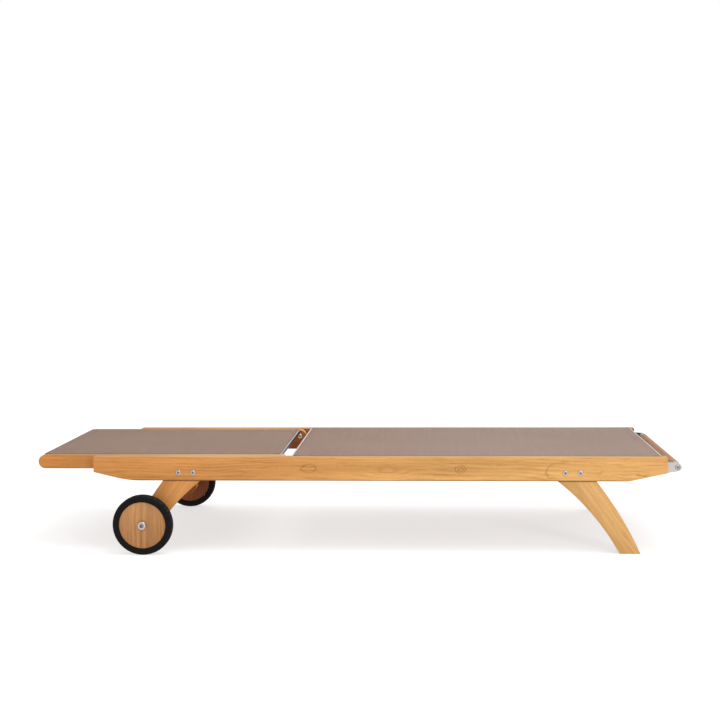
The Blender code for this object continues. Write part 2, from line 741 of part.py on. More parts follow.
def make_handle_bar(parts, tools, teak):
    reach = BOSS_INNER - CLEAR
    start = (HANDLE_X, -reach, HANDLE_Z)
    end = (HANDLE_X, reach, HANDLE_Z)
    bar = rod("handle_bar", HANDLE_RADIUS, start, end, parts, ROUND_MEDIUM)
    for word, side in SIDES:
        start = (HANDLE_X, side * (BOSS_INNER - HANDLE_SCREW_BITE - CLEAR), HANDLE_Z)
        end = (HANDLE_X, side * RAIL_OUTER, HANDLE_Z)
        bore = HANDLE_SCREW_RADIUS + CLEAR
        cut(bar, rod("handle_bore_" + word, bore, start, end, tools, ROUND_SMALL))
    return paint(bar, teak)


# ---------------------------------------------------------------- axle and wheels
def make_axle(parts, tools):
    hub_x, hub_z = axle_place()
    start = (hub_x, -WHEEL_OUTER, hub_z)
    end = (hub_x, WHEEL_OUTER, hub_z)
    axle = rod("axle", AXLE_RADIUS, start, end, parts)
    for word, side in SIDES:
        start = (hub_x, side * (WHEEL_OUTER - AXLE_SCREW_LENGTH - 2 * CLEAR), hub_z)
        end = (hub_x, side * (WHEEL_OUTER + AXLE_SCREW_LENGTH), hub_z)
        bore = AXLE_SCREW_RADIUS + CLEAR
        cut(axle, rod("axle_thread_" + word, bore, start, end, tools, ROUND_SMALL))
        make_axle_cap(word, side, hub_x, hub_z, parts)
        make_spacer(word, side, hub_x, hub_z, parts)
    return paint(axle, STEEL)


def make_axle_cap(word, side, hub_x, hub_z, parts):
    """The bolt that closes the axle's end, with a low round head."""
    seat = AXLE_SCREW_LENGTH + CLEAR
    top = seat + AXLE_CAP_THICK
    floor = top - AXLE_SOCKET_DEPTH
    socket = [(0.0, floor), (AXLE_SOCKET_RADIUS, floor), (AXLE_SOCKET_RADIUS, top)]
    head, shank = AXLE_CAP_RADIUS, AXLE_SCREW_RADIUS
    profile = socket + headed_profile(head, AXLE_CAP_THICK, shank, seat, BOLT_EASE)[1:]
    place = (hub_x, side * (WHEEL_OUTER - AXLE_SCREW_LENGTH), hub_z)
    cap = turned_piece("axle_cap_" + word, profile, place, side, parts, ROUND_MEDIUM)
    return paint(cap, STEEL)


def make_spacer(word, side, hub_x, hub_z, parts):
    profile = ring_profile(AXLE_RADIUS + CLEAR, SPACER_RADIUS, WHEEL_GAP - 2 * CLEAR)
    place = (hub_x, side * (LEG_OUTER + CLEAR), hub_z)
    spacer = turned_piece(
        "wheel_spacer_" + word, profile, place, side, parts, ROUND_MEDIUM, closed=True
    )
    return paint(spacer, STEEL)


def make_wheel(word, side, parts, pivot, mats):
    hub_x, hub_z = axle_place()
    bush_outer = AXLE_RADIUS + CLEAR + BUSH_WALL

    length = TYRE_WIDTH - CLEAR
    profile = ring_profile(AXLE_RADIUS + CLEAR, bush_outer, length)
    place = (hub_x, side * WHEEL_INNER, hub_z)
    name = "wheel_bush_" + word
    bush = turned_piece(name, profile, place, side, parts, ROUND_MEDIUM, True, pivot)
    paint(bush, mats["nylon"])

    thick = TYRE_WIDTH - 2 * DISC_RECESS
    ease = DISC_RECESS
    bore = bush_outer + CLEAR
    profile = [
        (DISC_RADIUS - ease, thick),
        (DISC_RADIUS, thick - ease),
        (DISC_RADIUS, ease),
        (DISC_RADIUS - ease, 0.0),
        (bore, 0.0),
        (bore, thick),
    ]
    place = (hub_x, side * (WHEEL_INNER + DISC_RECESS), hub_z)
    name = "wheel_disc_" + word
    disc = turned_piece(name, profile, place, side, parts, ROUND_FINE, True, pivot)
    paint(disc, mats["teak"])

    inner = DISC_RADIUS + CLEAR
    lip = TYRE_SHOULDER / 4
    soft = TYRE_SHOULDER * (1 - math.sqrt(0.5))
    profile = [
        (WHEEL_RADIUS - TYRE_SHOULDER, TYRE_WIDTH),
        (WHEEL_RADIUS - soft, TYRE_WIDTH - soft),
        (WHEEL_RADIUS, TYRE_WIDTH - TYRE_SHOULDER),
        (WHEEL_RADIUS, TYRE_SHOULDER),
        (WHEEL_RADIUS - soft, soft),
        (WHEEL_RADIUS - TYRE_SHOULDER, 0.0),
        (inner + lip, 0.0),
        (inner, lip),
        (inner, TYRE_WIDTH - lip),
        (inner + lip, TYRE_WIDTH),
    ]
    place = (hub_x, side * WHEEL_INNER, hub_z)
    name = "wheel_tyre_" + word
    tyre = turned_piece(name, profile, place, side, parts, ROUND_FINE, True, pivot)
    paint(tyre, mats["rubber"])


# ---------------------------------------------------------------- backrest pieces
def make_backrest_rail(word, side, parts, tools, teak, pivot):
    radius = BACK_DEPTH / 2
    outline = stadium((HEAD_X + radius, HINGE_Z), (HINGE_X, HINGE_Z), radius)
    centre = (HINGE_X, side * BACK_MID, HINGE_Z)
    rail = prism("backrest_rail_" + word, outline, BACK_THICK, centre, parts, pivot=pivot)
    round_edges(rail, WOOD_ROUND)
    name = "back_slot_" + word
    cut(rail, groove(name, side, BACK_SLING_EDGE, back_sling_span(), tools, pivot))
    start = (HINGE_X, side * (BACK_MID - BACK_THICK), HINGE_Z)
    end = (HINGE_X, side * (BACK_MID + BACK_THICK), HINGE_Z)
    bore = HINGE_RADIUS + CLEAR + HINGE_BUSH_WALL + CLEAR
    cut(rail, rod("hinge_bore_" + word, bore, start, end, tools, ROUND_SMALL, pivot))
    start = (PIVOT_X, side * (BACK_INNER - BACK_THICK), PIVOT_Z)
    end = (PIVOT_X, side * (BACK_INNER + STRUT_PIN_DEPTH + CLEAR), PIVOT_Z)
    bore = STRUT_PIN_RADIUS + CLEAR
    cut(rail, rod("pin_hole_" + word, bore, start, end, tools, ROUND_SMALL, pivot))
    return paint(rail, teak)


def make_hinge(word, side, parts, pivot, nylon):
    """Bolt from the inside through bushed backrest rail and washer, into the side rail."""
    inner_end = RAIL_INNER + HINGE_DEPTH
    length = inner_end - (BACK_INNER - CLEAR)
    head, shank = HINGE_HEAD_RADIUS, HINGE_RADIUS
    profile = headed_profile(head, HINGE_HEAD_THICK, shank, length, BOLT_EASE)
    place = (HINGE_X, side * inner_end, HINGE_Z)
    bolt = turned_piece("hinge_bolt_" + word, profile, place, -side, parts, ROUND_SMALL)
    paint(bolt, STEEL)

    gap = RAIL_INNER - BACK_OUTER - 2 * CLEAR
    profile = ring_profile(HINGE_RADIUS + CLEAR, HINGE_WASHER_RADIUS, gap)
    place = (HINGE_X, side * (BACK_OUTER + CLEAR), HINGE_Z)
    name = "hinge_washer_" + word
    washer = turned_piece(name, profile, place, side, parts, ROUND_SMALL, True)
    paint(washer, STEEL)

    inner = HINGE_RADIUS + CLEAR
    profile = ring_profile(inner, inner + HINGE_BUSH_WALL, BACK_THICK)
    place = (HINGE_X, side * BACK_INNER, HINGE_Z)
    name = "hinge_bush_" + word
    bush = turned_piece(name, profile, place, side, parts, ROUND_SMALL, True, pivot)
    paint(bush, nylon)


def make_strut_pin(word, side, parts, pivot):
    """Headed pin in the backrest rail that the strut's arm turns on."""
    inner_end = BACK_INNER + STRUT_PIN_DEPTH
    length = inner_end - (STRUT_INNER - CLEAR)
    head, shank = STRUT_PIN_HEAD, STRUT_PIN_RADIUS
    profile = headed_profile(head, STRUT_PIN_HEAD_THICK, shank, length, BOLT_EASE)
    place = (PIVOT_X, side * inner_end, PIVOT_Z)
    name = "strut_pin_" + word
    pin = turned_piece(name, profile, place, -side, parts, ROUND_SMALL, False, pivot)
    return paint(pin, STEEL)


def make_strut(parts, tools, pivot, mat):
    foot = foot_tube_place(0.0)
    outline = stadium(foot, (PIVOT_X, PIVOT_Z), STRUT_WIDTH / 2)
    for word, side in SIDES:
        centre = (PIVOT_X, side * STRUT_MID, PIVOT_Z)
        arm = prism("strut_arm_" + word, outline, STRUT_THICK, centre, parts, pivot=pivot)
        start = (PIVOT_X, side * (STRUT_MID - STRUT_THICK), PIVOT_Z)
        end = (PIVOT_X, side * (STRUT_MID + STRUT_THICK), PIVOT_Z)
        bore = STRUT_PIN_RADIUS + CLEAR
        cut(arm, rod("arm_bore_" + word, bore, start, end, tools, ROUND_SMALL, pivot))
        paint(arm, mat)
    reach = STRUT_INNER - CLEAR
    start = (foot[0], -reach, foot[1])
    end = (foot[0], reach, foot[1])
    tube = rod("strut_tube", STRUT_TUBE_RADIUS, start, end, parts, ROUND_SMALL, pivot)
    paint(tube, mat)


def make_rack(word, side, parts, tools, teak):
    """Bar under the strut's foot tube, with a hollow for each recline stop."""
    places = stretcher_places()
    start = places["head_stretcher"][1] + CLEAR
    end = places["rack_stretcher"][0] - CLEAR
    under = STRUT_TUBE_RADIUS + CLEAR
    bottom = DECK_HEIGHT - RACK_BOTTOM_DROP
    outline = [
        (start, bottom),
        (end, bottom),
        (end, tube_path_z(end) - under),
        (start, tube_path_z(start) - under),
    ]
    centre = (start, side * RACK_MID, bottom)
    rack = prism("prop_rack_" + word, outline, RACK_THICK, centre, parts)
    for index, angle in enumerate(RECLINE_STOPS):
        x, z = foot_tube_place(angle)
        low = (x, side * (RACK_MID - RACK_THICK), z - NOTCH_DEPTH)
        high = (x, side * (RACK_MID + RACK_THICK), z - NOTCH_DEPTH)
        name = "notch_%s_%d" % (word, index)
        cut(rack, rod(name, STRUT_TUBE_RADIUS + CLEAR, low, high, tools, ROUND_SMALL))
    return paint(rack, teak)


# ---------------------------------------------------------------- assembly
def build():
    parts = new_collection("sun_lounger")
    tools = new_collection("sun_lounger_cutters")

    mats = {
        "teak": material("teak", (0.64, 0.36, 0.14), 0.55),
        "rubber": material("rubber", (0.012, 0.012, 0.013), 0.75),
        "aluminium": material("aluminium", (0.72, 0.70, 0.68), 0.35, 1.0),
        "nylon": material("nylon", (0.10, 0.10, 0.10), 0.5),
        "mesh": material("mesh", (0.38, 0.28, 0.22), 0.8),
    }
    teak, alloy, nylon = mats["teak"], mats["aluminium"], mats["nylon"]

    for word, side in SIDES:
        make_side_rail(word, side, parts, tools, teak)
        make_legs(word, side, parts, tools, teak)
        make_rack(word, side, parts, tools, teak)
        make_handle_bracket(word, side, parts, tools, STEEL)
        make_handle_screw(word, side, parts)
        make_keder("seat_keder_" + word, side, SEAT_SLING_EDGE, seat_sling_span(), parts, nylon)
    make_stretchers(parts, teak)
    make_handle_bar(parts, tools, teak)
    make_axle(parts, tools)
    reach = RAIL_INNER - CLEAR
    make_bar("seat_bar_head", HINGE_X + SEAT_BAR_FROM_HINGE, reach, parts, alloy)
    make_bar("seat_bar_foot", FOOT_X - FOOT_BAR_SETBACK - BAR_RUN, reach, parts, alloy)
    make_sling("sling_seat", SEAT_SLING_EDGE, seat_sling_span(), parts, mats["mesh"])

    hinge = add_pivot("hinge_axis", (HINGE_X, 0.0, HINGE_Z), parts)
    reach = BACK_INNER - CLEAR
    make_bar("backrest_bar_tip", HEAD_X + TIP_BAR_SETBACK, reach, parts, alloy, hinge)
    start = HINGE_X - HINGE_BAR_SETBACK - BAR_RUN
    make_bar("backrest_bar_hinge", start, reach, parts, alloy, hinge)
    span = back_sling_span()
    make_sling("sling_backrest", BACK_SLING_EDGE, span, parts, mats["mesh"], hinge)
    for word, side in SIDES:
        make_backrest_rail(word, side, parts, tools, teak, hinge)
        make_hinge(word, side, parts, hinge, nylon)
        make_strut_pin(word, side, parts, hinge)
        name = "backrest_keder_" + word
        make_keder(name, side, BACK_SLING_EDGE, span, parts, nylon, hinge)

    strut_axis = add_pivot("strut_axis", (PIVOT_X, 0.0, PIVOT_Z), parts)
    make_strut(parts, tools, strut_axis, alloy)

    hub_x, hub_z = axle_place()
    for word, side in SIDES:
        spin = add_pivot("wheel_axis_" + word, (hub_x, side * WHEEL_MID, hub_z), parts)
        make_wheel(word, side, parts, spin, mats)


clear_scene()
STEEL = material("stainless", (0.66, 0.64, 0.62), 0.28, 1.0)
build()
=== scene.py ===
# %% [markdown]
# # A teak sun lounger with two mesh slings
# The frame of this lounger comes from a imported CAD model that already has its
# joints. This lesson dresses it: camera and light first, then each finish, then
# the pieces that need more shape than the CAD model has.

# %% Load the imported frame
import math

import bmesh
import bpy
from mathutils import Matrix, Vector


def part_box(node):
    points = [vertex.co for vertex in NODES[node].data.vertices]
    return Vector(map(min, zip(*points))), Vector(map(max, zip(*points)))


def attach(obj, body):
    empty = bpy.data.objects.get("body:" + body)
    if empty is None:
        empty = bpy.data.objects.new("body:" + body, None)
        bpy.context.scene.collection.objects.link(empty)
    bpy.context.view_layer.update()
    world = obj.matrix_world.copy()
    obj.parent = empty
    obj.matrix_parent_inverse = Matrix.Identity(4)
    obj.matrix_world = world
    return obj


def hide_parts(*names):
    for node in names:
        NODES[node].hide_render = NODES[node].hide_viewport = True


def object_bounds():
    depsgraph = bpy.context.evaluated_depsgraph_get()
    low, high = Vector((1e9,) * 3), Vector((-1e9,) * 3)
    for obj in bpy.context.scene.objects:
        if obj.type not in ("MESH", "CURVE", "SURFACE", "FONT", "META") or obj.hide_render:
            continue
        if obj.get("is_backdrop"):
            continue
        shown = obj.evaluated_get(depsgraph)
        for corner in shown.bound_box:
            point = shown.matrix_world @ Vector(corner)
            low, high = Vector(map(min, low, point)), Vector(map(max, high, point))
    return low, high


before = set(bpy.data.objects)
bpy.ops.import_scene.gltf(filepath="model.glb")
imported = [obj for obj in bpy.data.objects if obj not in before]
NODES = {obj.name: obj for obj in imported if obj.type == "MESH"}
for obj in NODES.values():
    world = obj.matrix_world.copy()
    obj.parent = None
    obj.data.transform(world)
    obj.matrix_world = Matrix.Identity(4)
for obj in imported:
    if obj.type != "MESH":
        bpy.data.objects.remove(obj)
SCENE = bpy.context.scene
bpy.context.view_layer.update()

# %% [markdown]
# ## Camera
# The lounger is seen almost from the side and only five degrees from above, so
# the deck is a thin band and the side rail fills the view. A normal lens stands
# about four metres away and turns a little to the left. The height is enough to
# see the far rail's inner face through the gap in the deck.

# %% Place the camera
CAMERA_PLACE = (0.2518, -3.823, 0.9123)
CAMERA_TURN = math.radians(3.360)
CAMERA_DIP = math.radians(5.099)
CAMERA_ROLL = math.radians(-0.522)
CAMERA_LENS = 57.84

camera_data = bpy.data.cameras.new("camera")
camera_data.lens = CAMERA_LENS
camera_data.sensor_width = 36.0
camera_data.shift_x = -0.010
camera = bpy.data.objects.new("camera", camera_data)
turn = Matrix.Rotation(CAMERA_TURN, 4, "Z")
dip = Matrix.Rotation(math.pi / 2 - CAMERA_DIP, 4, "X")
roll = Matrix.Rotation(CAMERA_ROLL, 4, "Z")
camera.matrix_world = Matrix.Translation(CAMERA_PLACE) @ turn @ dip @ roll
SCENE.collection.objects.link(camera)
SCENE.camera = camera
print("camera", tuple(round(v, 3) for v in camera.location))

# %% [markdown]
# ## Light
# Outdoor furniture is shown in even light with one soft shadow on the ground.
# A white surrounding gives the even part. A wide lamp overhead brightens the tops
# of the rails, and a smaller lamp to the right of the camera keeps the near side warm.

# %% Surround and lamps
SCENE.view_settings.view_transform = "Standard"
world = bpy.data.worlds.new("studio")
world.use_nodes = True
world.node_tree.nodes["Background"].inputs["Color"].default_value = (1.0, 1.0, 1.0, 1.0)
world.node_tree.nodes["Background"].inputs["Strength"].default_value = 1.0
SCENE.world = world


def soft_lamp(name, place, aim, size, power):
    """A square lamp that points from place to aim."""
    lamp = bpy.data.lights.new(name, "AREA")
    lamp.shape = "SQUARE"
    lamp.size = size
    lamp.energy = power
    holder = bpy.data.objects.new(name, lamp)
    holder.location = place
    holder.rotation_euler = (Vector(aim) - Vector(place)).to_track_quat("-Z", "Y").to_euler()
    SCENE.collection.objects.link(holder)
    return holder


soft_lamp("overhead", (0.6, -0.4, 2.8), (0.1, 0.0, 0.2), 1.8, 46.0)
soft_lamp("front_right", (2.5, -3.9, 2.0), (0.2, 0.0, 0.1), 0.7, 38.0)

# %% [markdown]
# ## Writing node maths as Python
# A material is a graph of small nodes. Wiring each one by hand hides the idea, so
# `Wire` wraps a socket and lets Python's own operators add the Math nodes:
# `1 - mask * 0.5` builds two nodes. `Graph` has one method for every other node.
# It is given the node's type, its settings and the values or wires of its sockets.


# %% Wires and graphs
class Wire:
    """A number or vector that flows between nodes."""

    def __init__(self, graph, socket):
        self.graph = graph
        self.socket = socket

    def maths(self, operation, first, second=0.0):
        return self.graph.add("ShaderNodeMath", {"operation": operation}, {0: first, 1: second})

    def __add__(self, other):
        return self.maths("ADD", self, other)

    def __sub__(self, other):
        return self.maths("SUBTRACT", self, other)

    def __rsub__(self, other):
        return self.maths("SUBTRACT", other, self)

    def __mul__(self, other):
        return self.maths("MULTIPLY", self, other)

    def __truediv__(self, other):
        return self.maths("DIVIDE", self, other)

    def __pow__(self, other):
        return self.maths("POWER", self, other)

    def __rpow__(self, other):
        return self.maths("POWER", other, self)

    def above(self, other):
        return self.maths("GREATER_THAN", self, other)

    def larger(self, other):
        return self.maths("MAXIMUM", self, other)

    def unary(self, operation):
        return self.maths(operation, self)

    __radd__ = __add__
    __rmul__ = __mul__


class Graph:
    """A node tree with one way to add a node."""

    def __init__(self, tree):
        self.tree = tree

    def add(self, kind, settings=None, values=None, out=0):
        """Adds a node: its settings first, then its sockets, then returns one output."""
        node = self.tree.nodes.new(kind)
        for key, value in (settings or {}).items():
            if key == "stops":
                self.set_stops(node.color_ramp, value)
            else:
                setattr(node, key, value)
        for key, value in (values or {}).items():
            self.feed(node.inputs[key], value)
        return Wire(self, node.outputs[out])

    def feed(self, socket, value):
        if isinstance(value, Wire):
            self.tree.links.new(value.socket, socket)
        else:
            socket.default_value = value

    def set_stops(self, ramp, stops):
        while len(ramp.elements) < len(stops):
            ramp.elements.new(1.0)
        for element, (place, colour) in zip(ramp.elements, stops):
            element.position = place
            element.color = (*colour, 1.0)


print("maths helpers ready")

# %% [markdown]
# ## Finishes
# `Finish` is a graph that ends in a Principled shader. It knows the few patterns
# that every finish here is made of: stretched noise, a colour mix and a bump.
# All of them read object coordinates, which are plain metres in this model, so a
# pattern's scale can be written in real sizes.


# %% The finish helper
def srgb(red, green, blue):
    """A screen colour (0 to 255) as the linear colour that shaders use."""

    def linear(channel):
        c = channel / 255.0
        return c / 12.92 if c <= 0.04045 else ((c + 0.055) / 1.055) ** 2.4

    return tuple(linear(c) for c in (red, green, blue))


class Finish(Graph):
    """A material in the making."""

    def __init__(self, name, roughness=0.5, metallic=0.0, **fixed):
        self.material = bpy.data.materials.new(name)
        self.material.use_nodes = True
        super().__init__(self.material.node_tree)
        self.shader = self.tree.nodes["Principled BSDF"]
        self.shader.inputs["Roughness"].default_value = roughness
        self.shader.inputs["Metallic"].default_value = metallic
        for key, value in fixed.items():
            self.shader.inputs[key.replace("_", " ")].default_value = value
        self.here = self.add("ShaderNodeTexCoord", out="Object")

    def along(self, direction, start=0.0):
        """Distance in metres along a direction, from start."""
        settings = {"operation": "DOT_PRODUCT"}
        values = {0: self.here, 1: tuple(direction)}
        return self.add("ShaderNodeVectorMath", settings, values, out="Value") - start

    def vector(self, x, y, z):
        return self.add("ShaderNodeCombineXYZ", {}, {0: x, 1: y, 2: z})

    def facing(self, direction):
        """How much a face looks along a direction, from -1 to 1, in the piece's own space."""
        normal = self.add("ShaderNodeTexCoord", out="Normal")
        values = {0: normal, 1: tuple(direction)}
        return self.add("ShaderNodeVectorMath", {"operation": "DOT_PRODUCT"}, values, out="Value")

    def noise(self, vector, detail=2.0, rough=0.5):
        values = {"Vector": vector, "Scale": 1.0, "Detail": detail, "Roughness": rough}
        return self.add("ShaderNodeTexNoise", {"noise_dimensions": "3D"}, values)

    def spread(self, value, low, high, to_low=0.0, to_high=1.0):
        """Maps a range to another, with soft ends and nothing outside it."""
        settings = {"interpolation_type": "SMOOTHSTEP"}
        values = {0: value, 1: low, 2: high, 3: to_low, 4: to_high}
        return self.add("ShaderNodeMapRange", settings, values)

    def mix(self, share, first, second):
        """A colour between two colours or colour wires."""
        colours = [c if isinstance(c, Wire) else (*c, 1.0) for c in (first, second)]
        settings = {"data_type": "RGBA"}
        return self.add("ShaderNodeMix", settings, {0: share, 6: colours[0], 7: colours[1]}, out=2)

    def colour(self, wire):
        self.feed(self.shader.inputs["Base Color"], wire)

    def rough(self, wire):
        self.feed(self.shader.inputs["Roughness"], wire)

    def bump(self, height, depth, strength=1.0):
        """Raises the surface by height times depth metres."""
        values = {"Height": height, "Distance": depth, "Strength": strength}
        self.feed(self.shader.inputs["Normal"], self.add("ShaderNodeBump", {}, values))


def dress(material, *names):
    """Gives CAD nodes a finish in place of their plain one."""
    for name in names:
        for place in NODES[name].material_slots:
            place.material = material


SIDES = (("right", -1.0), ("left", 1.0))
print("finish helper ready")

# %% [markdown]
# ## Teak
# A board is a slice of a tree: growth rings are cylinders about a far-off heart,
# and where they meet a face they draw its grain. So the rings are made in three
# dimensions, and the long faces get stripes and the ends get arcs of themselves.
# The heart's distance, a slow wander along the board, and a few small swells where
# a branch grew set the figure. Each board gets its own numbers, because no two
# boards are alike. Fine fibres and short dark pores are added on top.

# %% Growth rings
UP = Vector((0.0, 0.0, 1.0))
LONG = Vector((1.0, 0.0, 0.0))
DEEP = Vector((0.0, 1.0, 0.0))


def growth_rings(wood, u, v, w, heart, spacing, wander, knots):
    """The dark late wood of each ring, how strongly it shows, and the fine noise in it."""
    slow = wood.noise(wood.vector(u * 2.2, v * 9.0, w * 9.0), 1.0)
    fine = wood.noise(wood.vector(u * 11.0, v * 48.0, w * 48.0), 2.0)
    side = v - heart[0]
    through = w - heart[1]
    rings = (side * side + through * through) ** 0.5 / spacing
    rings = rings + slow * (wander * 3.0) + fine * 0.9
    eyes = u * 0.0
    for start, height, reach, width, swell in knots:
        near = (u - start) * (1.0 / reach)
        over = (v - height) * (1.0 / width)
        bulge = math.e ** (0.0 - (near * near + over * over))
        rings = rings + bulge * swell
        eyes = eyes + bulge * 1.1
    phase = rings.unary("FRACT")
    late = wood.spread(phase, 0.35, 0.88) * wood.spread(phase, 1.0, 0.91)
    fading = wood.noise(wood.vector(u * 5.5, v * 26.0, w * 26.0), 2.0)
    strength = wood.spread(fading, 0.40, 0.66, 0.12, 1.0)
    strength = strength.larger(wood.spread(eyes, 0.1, 0.8))
    return late, strength, fine


print("rings ready")

# %% [markdown]
# The board itself is layers of shade on one ground colour: broad patches, streaks,
# fibres, pores and the rings, then painted shade on the faces that look down, up or
# inward and a painted shadow line at a joint. Each layer multiplies the last, as real
# stain and dirt do, and green and blue fall faster than red, so that dark wood turns
# warmer and not greyer.


# %% Teak, one board at a time
def teak(
    name, axis, across, middle, tones, heart, spacing=0.0060, wander=1.7, knots=(), lean=0.0,
    figure=0.16, shaded_ways=(), top_shade_share=1.0, ovals=(), joint=None
):
    """Teak whose grain runs along axis.

    tones: the wood's colour at the board's two ends. heart: where the tree's heart
    lay, across and through the board. knots: (along, across, reach, width, swell).
    figure: how dark the ring lines are. shaded_ways: the ways that the faces look
    which get a painted shade, darker and redder, for the dim light inside the frame.
    top_shade_share: how much painted shade, darker and greyer, the up faces get.
    ovals: the outlines of cut-through branches, (along, across, half length, half width, how dark).
    joint: the height of a painted shadow line along a joint.
    """
    wood = Finish(name, Specular_IOR_Level=0.32)
    depth = axis.cross(across)
    middle = Vector(middle)
    u = wood.along(axis, middle.dot(axis))
    v = wood.along(across, middle.dot(across)) + u * lean
    w = wood.along(depth, middle.dot(depth))

    late, strength, fine = growth_rings(wood, u, v, w, heart, spacing, wander, knots)
    fibre = wood.noise(wood.vector(u * 16.0, v * 420.0, w * 420.0), 3.0, 0.6)
    streak = wood.noise(wood.vector(u * 3.0, v * 95.0, w * 95.0), 2.0)
    pores = wood.noise(wood.vector(u * 95.0, v * 1500.0, w * 1500.0), 1.0)
    patch = wood.noise(wood.vector(u * 1.9, v * 14.0, w * 14.0), 2.0)

    reach = wood.spread(u, tones[0][0], tones[1][0])
    ground = wood.mix(reach, tones[0][1], tones[1][1])
    shade = wood.spread(patch, 0.30, 0.72, 0.86, 1.10)
    shade = shade * wood.spread(streak, 0.25, 0.75, 0.89, 1.08)
    shade = shade * wood.spread(fibre, 0.25, 0.75, 0.93, 1.05)
    shade = shade * (1.0 - late * strength * figure)
    shade = shade * (1.0 - wood.spread(pores, 0.62, 0.74) * 0.30)
    flecks = wood.noise(wood.vector(u * 13.0, v * 170.0, w * 170.0), 2.0)
    shade = shade * (1.0 - wood.spread(flecks, 0.56, 0.70) * 0.16)
    # painted shade: faces that look down are darkened by up to two thirds
    shade = shade * (1.0 - wood.spread(wood.facing(-UP), 0.15, 0.60) * 0.66)
    blot = wood.noise(wood.vector(u * 24.0, v * 60.0, w * 60.0), 2.0) - 0.5
    for start, height, half_long, half_wide, dark in ovals:
        near = (u - start) * (1.0 / half_long)
        over = (v - height) * (1.0 / half_wide)
        wavering = (near * near + over * over) ** 0.5 + blot * 0.7 - 1.0
        line = wood.spread(wavering.unary("ABSOLUTE"), 0.0030 / half_wide, 0.0006 / half_wide)
        shade = shade * (1.0 - line * strength * dark)
    # painted shadow: a dark line at the joint height, where the leg meets the rail's lower edge
    if joint is not None:
        level = wood.along(UP, joint).unary("ABSOLUTE")
        shade = shade * (1.0 - wood.spread(level, 0.0036, 0.0012) * 0.55)
    # painted shade: faces that look up get a darker, greyer tone, taking down their lit brightness
    top_shade = wood.spread(wood.facing(UP), 0.45, 0.90) * top_shade_share
    # painted shade: the inward faces are darkened and made redder, for the dim light inside the frame
    inward_shade = u * 0.0
    for way in shaded_ways:
        inward_shade = inward_shade + wood.spread(wood.facing(way), 0.55, 0.90)
    shade = shade * (1.0 - inward_shade * 0.44)
    red = shade * (1.0 - top_shade * 0.20)
    green = shade ** 1.18 * (1.0 - inward_shade * 0.42) * (1.0 - top_shade * 0.12)
    blue = shade ** 1.45 * (1.0 - inward_shade * 0.80) * (1.0 + top_shade * 0.14)
    values = {0: ground, 1: wood.vector(red, green, blue)}
    wood.colour(wood.add("ShaderNodeVectorMath", {"operation": "MULTIPLY"}, values))
    wood.rough(wood.spread(fibre, 0.2, 0.8, 0.50, 0.66) + late * 0.05)
    wood.bump(fibre * 0.6 + late * -0.5 + pores * 0.4, 0.00012, 0.8)
    return wood.material


print("teak recipe ready")

# %% [markdown]
# ## The long rails
# Each side rail is one plank with the grain along it. The near one is redder at
# the head and paler at the foot. It has two small eyes along its middle, and long
# faint outlines of cut-through branches where the foot leg is bolted on.

# %% Finish the rails, legs and cross pieces
rail_low, rail_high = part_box("side_rail_right")
rail_middle = (rail_low + rail_high) / 2
REDDISH = srgb(199, 135, 68)
GOLDEN = srgb(202, 151, 87)
RUDDY = srgb(192, 131, 68)
PALE = srgb(195, 149, 90)

near_knots = (
    (-0.138, 0.002, 0.030, 0.016, 0.7),
    (0.110, -0.008, 0.060, 0.016, 1.8),
    (-0.430, -0.006, 0.060, 0.016, 0.9),
    (0.850, -0.026, 0.062, 0.020, 1.4),
)
near_ovals = (
    (-0.138, 0.001, 0.024, 0.0125, 0.24),
    (0.330, 0.000, 0.016, 0.0120, 0.26),
    (0.330, 0.000, 0.007, 0.0055, 0.26),
    (0.675, -0.004, 0.082, 0.0330, 0.22),
    (0.835, -0.034, 0.085, 0.0220, 0.26),
)
far_knots = ((0.31, 0.006, 0.05, 0.022, -3.6), (-0.52, -0.012, 0.08, 0.02, 2.8))
rail_tones = ((-0.80, REDDISH), (0.55, GOLDEN))
for word, side in SIDES:
    place = (0.0, side * abs(rail_middle.y), rail_middle.z)
    knots = near_knots if side < 0 else far_knots
    heart = (-0.071, 0.035 * side)
    # the inward faces of the rails get a painted shade
    inward = Vector((0.0, -side, 0.0))
    # the rail gets a painted shadow line along its lower edge
    board = teak(
        "teak_rail_" + word, LONG, UP, place, rail_tones, heart, 0.0084, 1.5, knots, 0.004,
        shaded_ways=(inward,), ovals=near_ovals if side < 0 else (), joint=rail_low.z
    )
    dress(board, "side_rail_" + word)
    place = (0.0, side * 0.263, 0.277)
    tones = ((-1.0, srgb(190, 124, 56)), (-0.3, GOLDEN))
    heart = (0.05, 0.06 * side)
    board = teak("teak_backrest_" + word, LONG, UP, place, tones, heart, 0.0060, 1.6, shaded_ways=(inward,))
    dress(board, "backrest_rail_" + word)

LEG_LEAN = 0.1627 / 0.2250
for leg, away, tone in (("foot_leg_", 1.0, PALE), ("wheel_leg_", -1.0, RUDDY)):
    for word, side in SIDES:
        low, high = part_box(leg + word)
        grain = Vector((away * LEG_LEAN, 0.0, -1.0)).normalized()
        crosswise = DEEP.cross(grain)
        middle = (low + high) / 2
        heart = (0.16 * away, 0.03 * side)
        tones = ((-0.15, tone), (0.15, tone))
        # the inward faces of the legs get a painted shade
        inward = Vector((0.0, -side, 0.0))
        # the leg gets a painted shadow line where it meets the rail's lower edge
        board = teak(
            "teak_" + leg + word, grain, crosswise, middle, tones, heart, 0.0068, 1.5,
            figure=0.14, shaded_ways=(inward,), joint=rail_low.z
        )
        dress(board, leg + word)

